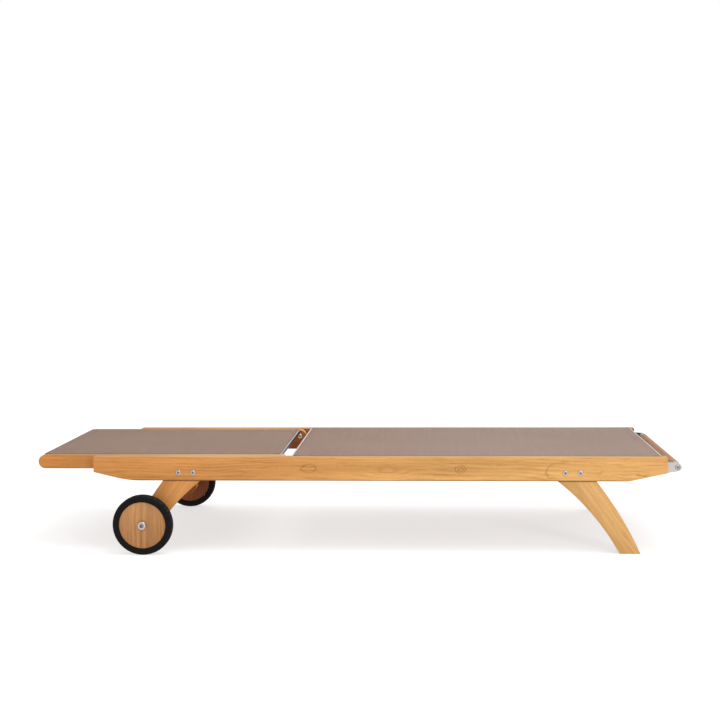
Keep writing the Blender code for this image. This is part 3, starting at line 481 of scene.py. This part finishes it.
tones = ((-0.3, GOLDEN), (0.3, RUDDY))
board = teak("teak_crosswise", DEEP, UP, (0.0, 0.0, 0.25), tones, (0.08, 0.03), 0.005)
dress(board, "head_stretcher", "rack_stretcher", "middle_stretcher", "foot_stretcher")
board = teak("teak_rack", LONG, UP, (-0.58, 0.0, 0.24), tones, (0.06, 0.02), 0.005)
dress(board, "prop_rack_right", "prop_rack_left")
print("boards finished", len([m for m in bpy.data.materials if m.name.startswith("teak")]))

# %% [markdown]
# ## Metal, nylon and rubber
# Extruded bars carry fine lines along their length, and turned heads carry a soft
# brushed blur. Both are the same idea: a noise stretched in one direction moves
# the roughness. The sockets of bolts, which the mesh marks, and the bar and bracket
# faces that look one way get a painted shade.
# Rubber is nearly black, with dust where it has rolled.


# %% Metal finishes
# a near-black grey for painted shade on metal
SHADE_DARK = (0.06, 0.055, 0.055)


def drawn_metal(name, tint, roughness, fine, waver=0.10, shaded_way=None, socket_shaded=False):
    """Metal with fine lines; fine is how fast the pattern changes in x, y and z.

    shaded_way: faces that look this way get a painted shade, towards a near-black grey.
    socket_shaded: paints shade on the points that a mesh marks as the inside of a socket.
    """
    metal = Finish(name, metallic=1.0)
    x, y, z = (metal.along(axis) for axis in (LONG, DEEP, UP))
    lines = metal.noise(metal.vector(x * fine[0], y * fine[1], z * fine[2]), 3.0)
    cloud = metal.noise(metal.vector(x * 30.0, y * 30.0, z * 30.0), 2.0)
    shade = metal.spread(lines, 0.3, 0.7, 0.93, 1.0) * metal.spread(cloud, 0.3, 0.7, 0.95, 1.0)
    base = metal.vector(shade * tint[0], shade * tint[1], shade * tint[2])
    # painted shade on the faces that look the given way
    if shaded_way is not None:
        base = metal.mix(metal.spread(metal.facing(shaded_way), 0.4, 0.9), base, SHADE_DARK)
    # painted shade inside the bolt sockets
    if socket_shaded:
        pit = metal.add("ShaderNodeAttribute", {"attribute_name": "pit"}, out="Fac")
        base = metal.mix(pit * 0.72, base, SHADE_DARK)
    metal.colour(base)
    metal.rough(metal.spread(lines, 0.25, 0.75, roughness - waver, roughness + waver) + cloud * 0.06)
    metal.bump(lines, 0.00004, 0.6)
    return metal.material


# faces of the bars that look along +X get a painted shade
extruded = drawn_metal("extruded_aluminium", (0.62, 0.60, 0.58), 0.36, (900.0, 9.0, 900.0), 0.10, LONG)
tube_metal = drawn_metal("aluminium_tube", (0.62, 0.61, 0.59), 0.40, (60.0, 900.0, 60.0))
satin_steel = drawn_metal("satin_steel", (0.44, 0.415, 0.41), 0.32, (260.0, 260.0, 260.0))
socket_steel = drawn_metal("socket_steel", (0.50, 0.475, 0.47), 0.28, (260.0, 260.0, 260.0), socket_shaded=True)
cast = {}
# the brackets' inward faces get a painted shade
for word, side in SIDES:
    inward = Vector((0.0, -side, 0.0))
    cast[word] = drawn_metal(
        "bead_blasted_steel_" + word, (0.52, 0.49, 0.48), 0.46, (700.0, 700.0, 700.0), 0.06, inward
    )
dress(extruded, "seat_bar_head", "seat_bar_foot", "backrest_bar_tip", "backrest_bar_hinge")
dress(tube_metal, "strut_arm_right", "strut_arm_left", "strut_tube")
for word, side in SIDES:
    dress(cast[word], "handle_bracket_" + word)
    dress(satin_steel, "wheel_spacer_" + word, "hinge_washer_" + word)
dress(satin_steel, "axle")
print("metal finishes", 4 + len(cast))

# %% [markdown]
# The rods, bushes and tyres are moulded. Nylon has a very fine spark-eroded grain
# and a faint coat. The tyre reads how far a point is from the hub, so that only the
# tread is dusty.

# %% Nylon and rubber
hub_low, hub_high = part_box("axle")
HUB = (hub_low + hub_high) / 2
tyre_low, tyre_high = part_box("wheel_tyre_right")
WHEEL_RADIUS = (tyre_high.z - tyre_low.z) / 2

nylon = Finish("moulded_nylon", Coat_Weight=0.08, Coat_Roughness=0.35)
x, y, z = (nylon.along(axis) for axis in (LONG, DEEP, UP))
grainy = nylon.noise(nylon.vector(x * 1600.0, y * 1600.0, z * 1600.0), 1.0)
nylon.colour(nylon.mix(nylon.spread(grainy, 0.3, 0.7), srgb(48, 48, 49), srgb(62, 61, 61)))
nylon.rough(nylon.spread(grainy, 0.3, 0.7, 0.42, 0.58))
nylon.bump(grainy, 0.00005, 0.5)
for word, side in SIDES:
    dress(nylon.material, "seat_keder_" + word, "backrest_keder_" + word)
    dress(nylon.material, "hinge_bush_" + word, "wheel_bush_" + word)

rubber = Finish("tyre_rubber", Specular_IOR_Level=0.16)
x = rubber.along(LONG, HUB.x)
y = rubber.along(DEEP)
z = rubber.along(UP, HUB.z)
radius = (x * x + z * z) ** 0.5
angle = z.maths("ARCTAN2", z, x)
speckle = rubber.noise(rubber.vector(x * 900.0, y * 900.0, z * 900.0), 2.0)
smear = rubber.noise(rubber.vector(angle * 14.0, y * 160.0, radius * 160.0), 3.0)
tread = rubber.spread(radius, WHEEL_RADIUS - 0.003, WHEEL_RADIUS - 0.0008)
dust = tread * rubber.spread(smear, 0.40, 0.75) * 0.22
bloom = rubber.mix(rubber.spread(speckle, 0.3, 0.7), srgb(4, 3, 4), srgb(9, 7, 8))
rubber.colour(rubber.mix(dust, bloom, srgb(92, 86, 78)))
rubber.rough(rubber.spread(speckle, 0.3, 0.7, 0.60, 0.76) + dust * 0.2)
rubber.bump(speckle + smear * 0.4, 0.00010, 0.7)
print("rubber on a wheel of radius", round(WHEEL_RADIUS, 4))

# %% [markdown]
# ## Turned pieces
# A wheel's wooden disc, its tyre and the round handle are all turned: half a
# section carried round an axis. The CAD model has them plainer and with fewer
# faces, so finer ones stand in, with the small steps and eased edges that catch the
# light. `turned` carries a section round the Y axis and closes it up.


# %% Turning
def new_piece(name, mesh, material):
    """Makes an object of a finished mesh, with smooth faces and sharp corners kept."""
    mesh.materials.append(material)
    mesh.shade_smooth()
    mesh.set_sharp_from_angle(angle=math.radians(32.0))
    piece = bpy.data.objects.new(name, mesh)
    SCENE.collection.objects.link(piece)
    return piece


def turned(name, section, centre, facets, material, closed=True):
    """Carries (radius, y) points round the Y axis through centre."""
    work = bmesh.new()
    loops = []
    for step in range(facets):
        spin = 2 * math.pi * step / facets
        ring = []
        for radius, y in section:
            x = centre.x + radius * math.cos(spin)
            z = centre.z + radius * math.sin(spin)
            ring.append(work.verts.new((x, y, z)))
        loops.append(ring)
    count = len(section)
    for step, ring in enumerate(loops):
        other = loops[(step + 1) % facets]
        for i in range(count if closed else count - 1):
            j = (i + 1) % count
            work.faces.new((ring[i], ring[j], other[j], other[i]))
    bmesh.ops.remove_doubles(work, verts=work.verts, dist=0.000001)
    bmesh.ops.recalc_face_normals(work, faces=work.faces)
    mesh = bpy.data.meshes.new(name)
    work.to_mesh(mesh)
    work.free()
    return new_piece(name, mesh, material)


print("turning ready")

# %% [markdown]
# A wheel is a flat teak disc inside a rubber tyre. The disc's grain runs straight
# across it, which shows it was sawn from a board and not turned from a log. Two
# turned sections are enough, and a fine groove keeps the tyre from looking cast.

# %% Wheels
disc_low, disc_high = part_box("wheel_disc_right")
bush_low, bush_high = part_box("wheel_bush_right")
DISC_RADIUS = (disc_high.z - disc_low.z) / 2
BORE_RADIUS = (bush_high.z - bush_low.z) / 2 + 0.0003
tyre_width = tyre_high.y - tyre_low.y
for word, side in SIDES:
    low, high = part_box("wheel_disc_" + word)
    tones = ((-0.07, srgb(164, 113, 66)), (0.07, srgb(178, 128, 78)))
    # the disc's inward face gets a painted shade
    inward = Vector((0.0, -side, 0.0))
    heart = (0.11 * side, 0.05)
    middle = (HUB.x, (low.y + high.y) / 2, HUB.z)
    board = teak(
        "teak_disc_" + word, UP, LONG, middle, tones, heart, 0.0098, 2.6,
        figure=0.28, top_shade_share=0.0, shaded_ways=(inward,)
    )
    ease = 0.0022
    rounding = ((0.0, ease), (ease * 0.7, ease * 0.7), (ease, 0.0))
    section = [(BORE_RADIUS, low.y)]
    section += [(DISC_RADIUS - ease + r, low.y + ease - y) for r, y in rounding]
    section += [(DISC_RADIUS - ease + r, high.y - ease + y) for r, y in reversed(rounding)]
    section += [(BORE_RADIUS, high.y)]
    disc = turned("wheel_disc_wood_" + word, section, HUB, 128, board)
    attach(disc, "wheel_" + word)
    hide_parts("wheel_disc_" + word)

    low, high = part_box("wheel_tyre_" + word)
    inner = DISC_RADIUS + 0.0003
    outer = WHEEL_RADIUS
    half = [
        # the bead that grips the disc
        (inner, 0.0130), (inner + 0.0006, 0.0147), (inner + 0.0022, 0.0150),
        # the side wall, with a fine moulded groove
        (inner + 0.0060, 0.0146), (inner + 0.0066, 0.0141), (inner + 0.0074, 0.0141),
        (inner + 0.0080, 0.0145), (outer - 0.0048, 0.0142),
        # the rounded shoulder
        (outer - 0.0030, 0.0134), (outer - 0.0014, 0.0119), (outer - 0.0004, 0.0098), (outer, 0.0075),
        # a groove round the tread
        (outer, 0.0046), (outer - 0.0011, 0.0041), (outer - 0.0011, 0.0029), (outer, 0.0024),
    ]
    centre_y = (low.y + high.y) / 2
    section = [(r, centre_y + y) for r, y in half] + [(r, centre_y - y) for r, y in reversed(half)]
    tyre = turned("wheel_tyre_rubber_" + word, section, HUB, 128, rubber.material)
    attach(tyre, "wheel_" + word)
    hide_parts("wheel_tyre_" + word)
print("wheels turned, tyre width", round(tyre_width, 4), "disc", round(DISC_RADIUS, 4))

# %% [markdown]
# ## The handle
# A length of round teak rod sits between the two metal bosses. Its ends are eased
# so that no sharp rim meets the hand, and its grain runs from side to side.

# %% Handle bar
low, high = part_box("handle_bar")
HANDLE = (low + high) / 2
HANDLE_RADIUS = (high.z - low.z) / 2
HANDLED = srgb(170, 119, 78)
tones = ((-0.25, HANDLED), (0.25, HANDLED))
board = teak("teak_handle", DEEP, UP, HANDLE, tones, (0.03, 0.02), 0.0042, 1.2)
ease = 0.0016
reach = high.y
corner = [(0.0, reach), (HANDLE_RADIUS - ease, reach), (HANDLE_RADIUS - ease * 0.3, reach - ease * 0.3)]
corner += [(HANDLE_RADIUS, reach - ease), (HANDLE_RADIUS, 0.1), (HANDLE_RADIUS, -0.1)]
corner += [(r, -y) for r, y in reversed(corner[:4])]
handle = turned("handle_rod", corner, HANDLE, 56, board, closed=False)
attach(handle, "frame")
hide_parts("handle_bar")
print("handle radius", round(HANDLE_RADIUS, 4), "length", round(2 * reach, 3))

# %% [markdown]
# ## Bolt heads
# The same button head with a hexagon socket shows on every leg bolt, handle screw,
# hinge bolt and hub cap, only larger or smaller. That is work for Geometry Nodes:
# one head is made once, and the tree sets a copy on each point, turned and scaled
# by attributes of the point. Realising the copies gives one plain mesh for a body.


# %% One button head
def button_head():
    """A head of radius 1 and height 1, with a hexagon socket, that faces +Z."""
    facets = 36
    socket_reach, floor_level = 0.42, 0.42
    steps = [(0.985, 0.0), (1.0, 0.06), (1.0, 0.34), (0.975, 0.56), (0.90, 0.78), (0.77, 0.93), (0.60, 1.0)]
    work = bmesh.new()

    def ring(radius_at, level):
        points = []
        for step in range(facets):
            a = 2 * math.pi * step / facets
            r = radius_at(a)
            points.append(work.verts.new((r * math.cos(a), r * math.sin(a), level)))
        return points

    def hexagon(a):
        sector = math.pi / 3
        return socket_reach * math.cos(sector / 2) / math.cos((a % sector) - sector / 2)

    rings = [ring(lambda a, r=r: r, level) for r, level in steps]
    rings.append(ring(lambda a: hexagon(a) + 0.03, 1.0))
    rings.append(ring(hexagon, 0.96))
    rings.append(ring(hexagon, floor_level))
    for a, b in zip(rings, rings[1:]):
        for i in range(facets):
            j = (i + 1) % facets
            work.faces.new((a[i], a[j], b[j], b[i]))
    work.faces.new(rings[-1])
    work.faces.new(rings[0][::-1])
    bmesh.ops.recalc_face_normals(work, faces=work.faces)
    mesh = bpy.data.meshes.new("button_head")
    work.to_mesh(mesh)
    work.free()
    # points inside the socket are marked for a painted shade
    pit = mesh.attributes.new("pit", "FLOAT", "POINT")
    for vertex in mesh.vertices:
        inside = math.hypot(vertex.co.x, vertex.co.y) < socket_reach + 0.02
        pit.data[vertex.index].value = 1.0 if inside else 0.0
    return bpy.data.objects.new("button_head", mesh)


head_pattern = button_head()
SCENE.collection.objects.link(head_pattern)
print("head faces", len(head_pattern.data.polygons))


# %% [markdown]
# `Recipe` writes a Geometry Nodes tree the way `Finish` writes a material. Its sizes
# are named inputs, so one tree serves big hub caps and small bolts alike.


# %% A tree that sets a copy on every point
class Recipe(Graph):
    """A Geometry Nodes tree with named inputs."""

    def __init__(self, name, inputs):
        tree = bpy.data.node_groups.new(name, "GeometryNodeTree")
        super().__init__(tree)
        tree.interface.new_socket("Geometry", in_out="INPUT", socket_type="NodeSocketGeometry")
        for label, kind in inputs.items():
            tree.interface.new_socket(label, in_out="INPUT", socket_type=kind)
        tree.interface.new_socket("Geometry", in_out="OUTPUT", socket_type="NodeSocketGeometry")
        self.start = tree.nodes.new("NodeGroupInput")
        self.end = tree.nodes.new("NodeGroupOutput")

    def given(self, label):
        return Wire(self, self.start.outputs[label])

    def finish_with(self, geometry):
        whole = self.add("GeometryNodeRealizeInstances", {}, {"Geometry": geometry})
        painted = self.add(
            "GeometryNodeSetMaterial", {}, {"Geometry": whole, "Material": self.given("Material")}
        )
        self.feed(self.end.inputs[0], painted)


def run_recipe(recipe, name, mesh, values):
    """Runs a tree on a mesh and returns the result as a plain object."""
    holder = bpy.data.objects.new(name, mesh)
    SCENE.collection.objects.link(holder)
    nodes = holder.modifiers.new("recipe", "NODES")
    nodes.node_group = recipe.tree
    for item in recipe.tree.interface.items_tree:
        if item.item_type == "SOCKET" and item.in_out == "INPUT" and item.name in values:
            nodes[item.identifier] = values[item.name]
    depsgraph = bpy.context.evaluated_depsgraph_get()
    made = bpy.data.meshes.new_from_object(holder.evaluated_get(depsgraph))
    bpy.data.objects.remove(holder, do_unlink=True)
    made.name = name
    piece = bpy.data.objects.new(name, made)
    SCENE.collection.objects.link(piece)
    return piece


heads_recipe = Recipe(
    "heads_on_points",
    {"Head": "NodeSocketObject", "Size": "NodeSocketFloat", "Material": "NodeSocketMaterial"},
)
g = heads_recipe
pattern = g.add("GeometryNodeObjectInfo", {}, {"Object": g.given("Head")}, out="Geometry")
facing = g.add("GeometryNodeInputNamedAttribute", {"data_type": "FLOAT_VECTOR"}, {"Name": "facing"})
span = g.add("GeometryNodeInputNamedAttribute", {"data_type": "FLOAT_VECTOR"}, {"Name": "span"})
turned_to = g.add("FunctionNodeAlignRotationToVector", {"axis": "Z"}, {"Vector": facing})
sized = g.add("ShaderNodeVectorMath", {"operation": "SCALE"}, {0: span, "Scale": g.given("Size")})
copies = g.add(
    "GeometryNodeInstanceOnPoints",
    {},
    {"Points": g.given("Geometry"), "Instance": pattern, "Rotation": turned_to, "Scale": sized},
)
g.finish_with(copies)
print("tree", heads_recipe.tree.name, "nodes", len(heads_recipe.tree.nodes))


# %% [markdown]
# Each head sits where the CAD bolt ends. Heads are gathered by the body that they
# ride on, because the prop's pins lift with the backrest and the rest stay put.


# %% Heads for each body
def head_at(node, outward, radius, thick):
    """Seat, direction and size of the head at the outward end of a CAD bolt."""
    low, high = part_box(node)
    y = high.y if outward > 0 else low.y
    middle = (low + high) / 2
    return node, Vector((middle.x, y - outward * thick, middle.z)), outward, radius, thick


def points_mesh(name, heads):
    mesh = bpy.data.meshes.new(name)
    mesh.from_pydata([place for _, place, _, _, _ in heads], [], [])
    facing = mesh.attributes.new("facing", "FLOAT_VECTOR", "POINT")
    span = mesh.attributes.new("span", "FLOAT_VECTOR", "POINT")
    for i, (_, _, outward, radius, thick) in enumerate(heads):
        facing.data[i].vector = (0.0, outward, 0.0)
        span.data[i].vector = (radius, radius, thick)
    return mesh


frame_heads = []
pin_heads = []
for word, side in SIDES:
    for leg in ("foot_leg_", "wheel_leg_"):
        for letter in "ab":
            frame_heads.append(head_at(leg + word + "_bolt_" + letter, side, 0.0080, 0.0026))
    frame_heads.append(head_at("handle_screw_" + word, side, 0.0072, 0.0027))
    frame_heads.append(head_at("axle_cap_" + word, side, 0.0135, 0.0057))
    frame_heads.append(head_at("hinge_bolt_" + word, -side, 0.0085, 0.0060))
    pin_heads.append(head_at("strut_pin_" + word, -side, 0.0075, 0.0040))
HEAD_GROUPS = (("frame_bolt_heads", "frame", frame_heads), ("strut_pin_heads", "backrest", pin_heads))
for name, body, heads in HEAD_GROUPS:
    mesh = points_mesh(name, heads)
    values = {"Head": head_pattern, "Size": 1.0, "Material": socket_steel}
    piece = run_recipe(heads_recipe, name, mesh, values)
    piece.data.shade_smooth()
    piece.data.set_sharp_from_angle(angle=math.radians(32.0))
    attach(piece, body)
    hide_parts(*[node for node, *_ in heads])
    print(name, len(heads), "heads", len(piece.data.polygons), "faces")
bpy.data.objects.remove(head_pattern, do_unlink=True)

# %% [markdown]
# ## The mesh slings
# The seat and the backrest are each one panel of coated polyester mesh, pulled
# tight between rods in the rails' slots, with a hem over each end bar. Tension
# leaves it almost flat: it dips a few millimetres along its middle and pulls level
# at the bars. A simulation would add nothing to that shape, so the panel is a grid
# whose height is written as a rule, thickened and rounded over the rails' slots.

# %% Mesh cloth
cloth = Finish("woven_mesh", Sheen_Weight=0.06, Sheen_Roughness=0.45, Specular_IOR_Level=0.14)
PITCH = 0.0019
x, y, z = (cloth.along(axis) for axis in (LONG, DEEP, UP))
lengthwise = (x * (math.pi / PITCH)).unary("SINE")
crosswise = (y * (math.pi / PITCH)).unary("SINE")
over = (lengthwise * crosswise).above(0.0)
warp_height = crosswise.unary("ABSOLUTE")
weft_height = lengthwise.unary("ABSOLUTE")
yarn = warp_height * over + weft_height * (1.0 - over)
twist = cloth.noise(cloth.vector(x * 500.0, y * 500.0, 0.0), 2.0)
warp_tone = cloth.noise(cloth.vector(x * 2.0, y * 260.0, 0.0), 1.0)
weft_tone = cloth.noise(cloth.vector(x * 260.0, y * 2.0, 0.0), 1.0)
soiling = cloth.noise(cloth.vector(x * 3.0, y * 5.0, 0.0), 3.0)
WARP = srgb(138, 111, 95)
WEFT = srgb(119, 95, 81)
yarn_colour = cloth.mix(over, WEFT, WARP)
faded = cloth.mix(cloth.spread(x, -0.35, 0.45), (1.0, 1.0, 1.0), (1.10, 1.20, 1.32))
yarn_colour = cloth.add("ShaderNodeVectorMath", {"operation": "MULTIPLY"}, {0: yarn_colour, 1: faded})
tone = cloth.spread(warp_tone * 0.5 + weft_tone * 0.5, 0.38, 0.62, 0.93, 1.06)
tone = tone * cloth.spread(soiling, 0.25, 0.75, 0.96, 1.03) * cloth.spread(twist, 0.3, 0.7, 0.93, 1.04)
# painted shade: the low points between the yarns are darkened, standing in for the open holes of the mesh
# and the shade seen through them
tone = tone * cloth.spread(yarn, 0.05, 0.55, 0.50, 1.0)
cloth.colour(cloth.add("ShaderNodeVectorMath", {"operation": "SCALE"}, {0: yarn_colour, "Scale": tone}))
cloth.rough(cloth.spread(yarn, 0.1, 0.9, 0.86, 0.62))
cloth.bump(yarn + twist * 0.25, 0.00035, 0.55)
print("weave pitch", PITCH)

# %% [markdown]
# The shape comes next. Height is one rule in x and y, so the cloth, its hems and
# the thread on it all agree. More rows of points go where the hem steps up.

# %% Panel shape
DECK = rail_high.z


class Panel:
    """A stretched panel: its span along X, its side edges, and its height rule."""

    def __init__(self, node, dip, overlap=0.0):
        low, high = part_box(node)
        self.start, self.end = low.x, high.x + overlap
        self.edge = high.y
        self.top = DECK + 0.0009
        self.flap_end = low.z
        self.dip = dip
        self.hem = 0.020

    def height(self, x, y):
        along = (x - self.start) / (self.end - self.start)
        pull = 1.0 - abs(2.0 * along - 1.0) ** 3.0
        free = max(0.0, 1.0 - (abs(y) / (self.edge - 0.006)) ** 2)
        ripple = 0.12 * math.sin(9.0 * along + 1.3) * math.sin(5.0 * y / self.edge)
        near_end = min(x - self.start, self.end - x)
        fold = 0.0007 * min(1.0, max(0.0, (self.hem - near_end) / 0.0012 + 0.5))
        return self.top + fold - self.dip * pull * free * (1.0 + ripple)


def stations(start, end, special, step):
    """Places from start to end no further apart than step, with extra ones at special."""
    count = math.ceil((end - start) / step)
    places = {round(start + (end - start) * i / count, 6) for i in range(count + 1)}
    return sorted(places | {round(p, 6) for p in special})


def make_panel(name, panel, body):
    """The cloth: the grid between the rails, with each long edge turned into its slot."""
    hem = panel.hem
    marks = [panel.start + hem + d for d in (-0.0008, 0.0, 0.0008)]
    marks += [panel.end - hem + d for d in (-0.0008, 0.0, 0.0008)]
    xs = stations(panel.start, panel.end, marks, 0.012)
    bend = 0.0008
    flat_edge = panel.edge - bend
    ys = stations(-flat_edge, flat_edge, [], 0.012)
    rows = []
    for x in xs:
        row = [(y, panel.height(x, y)) for y in ys]
        top = panel.height(x, flat_edge)
        turn = [
            (flat_edge + bend * math.sin(a), top - bend + bend * math.cos(a))
            for a in (math.pi / 8, math.pi / 4, math.pi * 3 / 8, math.pi / 2)
        ]
        turn.append((panel.edge, panel.flap_end + 0.0004))
        row += turn
        row = [(-y, z) for y, z in reversed(turn)] + row
        rows.append([(x, y, z) for y, z in row])
    verts = [point for row in rows for point in row]
    width = len(rows[0])
    faces = []
    for i in range(len(rows) - 1):
        for j in range(width - 1):
            a = i * width + j
            faces.append((a, a + width, a + width + 1, a + 1))
    mesh = bpy.data.meshes.new(name)
    mesh.from_pydata(verts, [], faces)
    piece = new_piece(name, mesh, cloth.material)
    thick = piece.modifiers.new("thickness", "SOLIDIFY")
    thick.thickness = 0.0008
    thick.offset = -1.0
    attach(piece, body)
    return piece


print("deck height", round(DECK, 4))

# %% Lay the two panels
PANELS = {
    "seat": (Panel("sling_seat", 0.0030), "frame", "sling_seat"),
    "backrest": (Panel("sling_backrest", 0.0026, 0.0025), "backrest", "sling_backrest"),
}
for word, (panel, body, node) in PANELS.items():
    piece = make_panel("cloth_" + word, panel, body)
    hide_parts(node)
    print(piece.name, "length", round(panel.end - panel.start, 3), "faces", len(piece.data.polygons))

# %% [markdown]
# ## Stitching
# Two rows of thread hold each end hem and one row holds the pocket for each side
# rod. A row is a line on the cloth; Geometry Nodes walks along it at the stitch
# length and lays one small rounded stitch at every step, leaning with the line.

# %% The stitch tree
stitch_recipe = Recipe(
    "stitches_on_lines",
    {
        "Pitch": "NodeSocketFloat",
        "Stitch length": "NodeSocketFloat",
        "Thread": "NodeSocketFloat",
        "Seed": "NodeSocketInt",
        "Material": "NodeSocketMaterial",
    },
)
g = stitch_recipe
line = g.add("GeometryNodeMeshToCurve", {}, {"Mesh": g.given("Geometry")})
steps = g.add("GeometryNodeResampleCurve", {"mode": "LENGTH"}, {"Curve": line, "Length": g.given("Pitch")})
heading = g.add("GeometryNodeInputTangent")
lean = g.add("FunctionNodeAlignRotationToVector", {"axis": "X"}, {"Vector": heading})
bead = g.add("GeometryNodeMeshUVSphere", {}, {"Segments": 6, "Rings": 4, "Radius": 0.5})
half_long = g.given("Stitch length")
thread = g.given("Thread")
jitter = g.add(
    "FunctionNodeRandomValue",
    {"data_type": "FLOAT"},
    {2: 0.88, 3: 1.06, "Seed": g.given("Seed")},
    out=1,
)
shape = g.add("ShaderNodeCombineXYZ", {}, {0: half_long * jitter, 1: thread, 2: thread * 0.7})
rows = g.add(
    "GeometryNodeInstanceOnPoints",
    {},
    {"Points": steps, "Instance": bead, "Rotation": lean, "Scale": shape},
)
g.finish_with(rows)
print("tree", stitch_recipe.tree.name, "nodes", len(stitch_recipe.tree.nodes))

# %% [markdown]
# Thread catches light more than the mesh does, so it has its own paler finish. The
# seams follow the panel's own height rule and ride on the same body as the cloth.

# %% Sew the hems
thread_finish = Finish("sewing_thread", roughness=0.55, Sheen_Weight=0.25)
x, y, z = (thread_finish.along(axis) for axis in (LONG, DEEP, UP))
ply = thread_finish.noise(thread_finish.vector(x * 900.0, y * 900.0, z * 900.0), 1.0)
THREAD_DARK = srgb(120, 100, 88)
THREAD_PALE = srgb(150, 130, 116)
thread_finish.colour(thread_finish.mix(thread_finish.spread(ply, 0.3, 0.7), THREAD_DARK, THREAD_PALE))
thread_finish.rough(thread_finish.spread(ply, 0.3, 0.7, 0.48, 0.66))


def seam_lines(panel):
    """Polylines on the cloth: two across each end, one along each side."""
    lift = 0.0001
    lines = []
    reach = panel.edge - 0.004
    for x in (panel.start + 0.004, panel.start + 0.016, panel.end - 0.016, panel.end - 0.004):
        ys = [reach * (2 * i / 40 - 1) for i in range(41)]
        lines.append([(x, y, panel.height(x, y) + lift) for y in ys])
    for side in (-1.0, 1.0):
        y = side * (panel.edge - 0.026)
        first, last = panel.start + 0.022, panel.end - 0.022
        xs = [first + (last - first) * i / 80 for i in range(81)]
        lines.append([(x, y, panel.height(x, y) + lift) for x in xs])
    return lines


def line_mesh(name, lines):
    verts = []
    edges = []
    for line in lines:
        first = len(verts)
        verts += line
        edges += [(first + i, first + i + 1) for i in range(len(line) - 1)]
    mesh = bpy.data.meshes.new(name)
    mesh.from_pydata(verts, edges, [])
    return mesh


for word, (panel, body, node) in PANELS.items():
    name = "stitches_" + word
    values = {
        "Pitch": 0.0042, "Stitch length": 0.0034, "Thread": 0.0009, "Seed": 7,
        "Material": thread_finish.material,
    }
    stitches = run_recipe(stitch_recipe, name, line_mesh(name, seam_lines(panel)), values)
    stitches.data.shade_smooth()
    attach(stitches, body)
    cut = (2 * (panel.edge + 0.006), panel.end - panel.start)
    print(name, len(stitches.data.polygons), "faces")

# %% [markdown]
# ## Ground
# A wide pale floor catches the soft shadow. It reaches far past the lounger on all
# sides, so that it meets the white surround at the horizon from any side.

# %% Floor
FLOOR_REACH = 40.0
floor_finish = Finish("pale_floor", roughness=1.0, Specular_IOR_Level=0.0, Emission_Strength=0.62)
floor_finish.shader.inputs["Emission Color"].default_value = (1.0, 0.985, 0.98, 1.0)
x, y, z = (floor_finish.along(axis) for axis in (LONG, DEEP, UP))
faint = floor_finish.noise(floor_finish.vector(x * 1.5, y * 1.5, 0.0), 2.0)
floor_finish.colour(floor_finish.mix(faint, (0.44, 0.44, 0.44), (0.46, 0.46, 0.46)))
work = bmesh.new()
bmesh.ops.create_circle(work, cap_ends=True, segments=96, radius=FLOOR_REACH)
floor_mesh = bpy.data.meshes.new("floor")
work.to_mesh(floor_mesh)
work.free()
floor = new_piece("floor", floor_mesh, floor_finish.material)
floor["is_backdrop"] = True
print("floor radius", FLOOR_REACH)

# %% [markdown]
# ## The size
# The finished model must keep the CAD model's size. The box around the visible model is printed.

# %% Print the visual box
low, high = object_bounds()
print("visual box", [round(v, 4) for v in (*low, *high)])
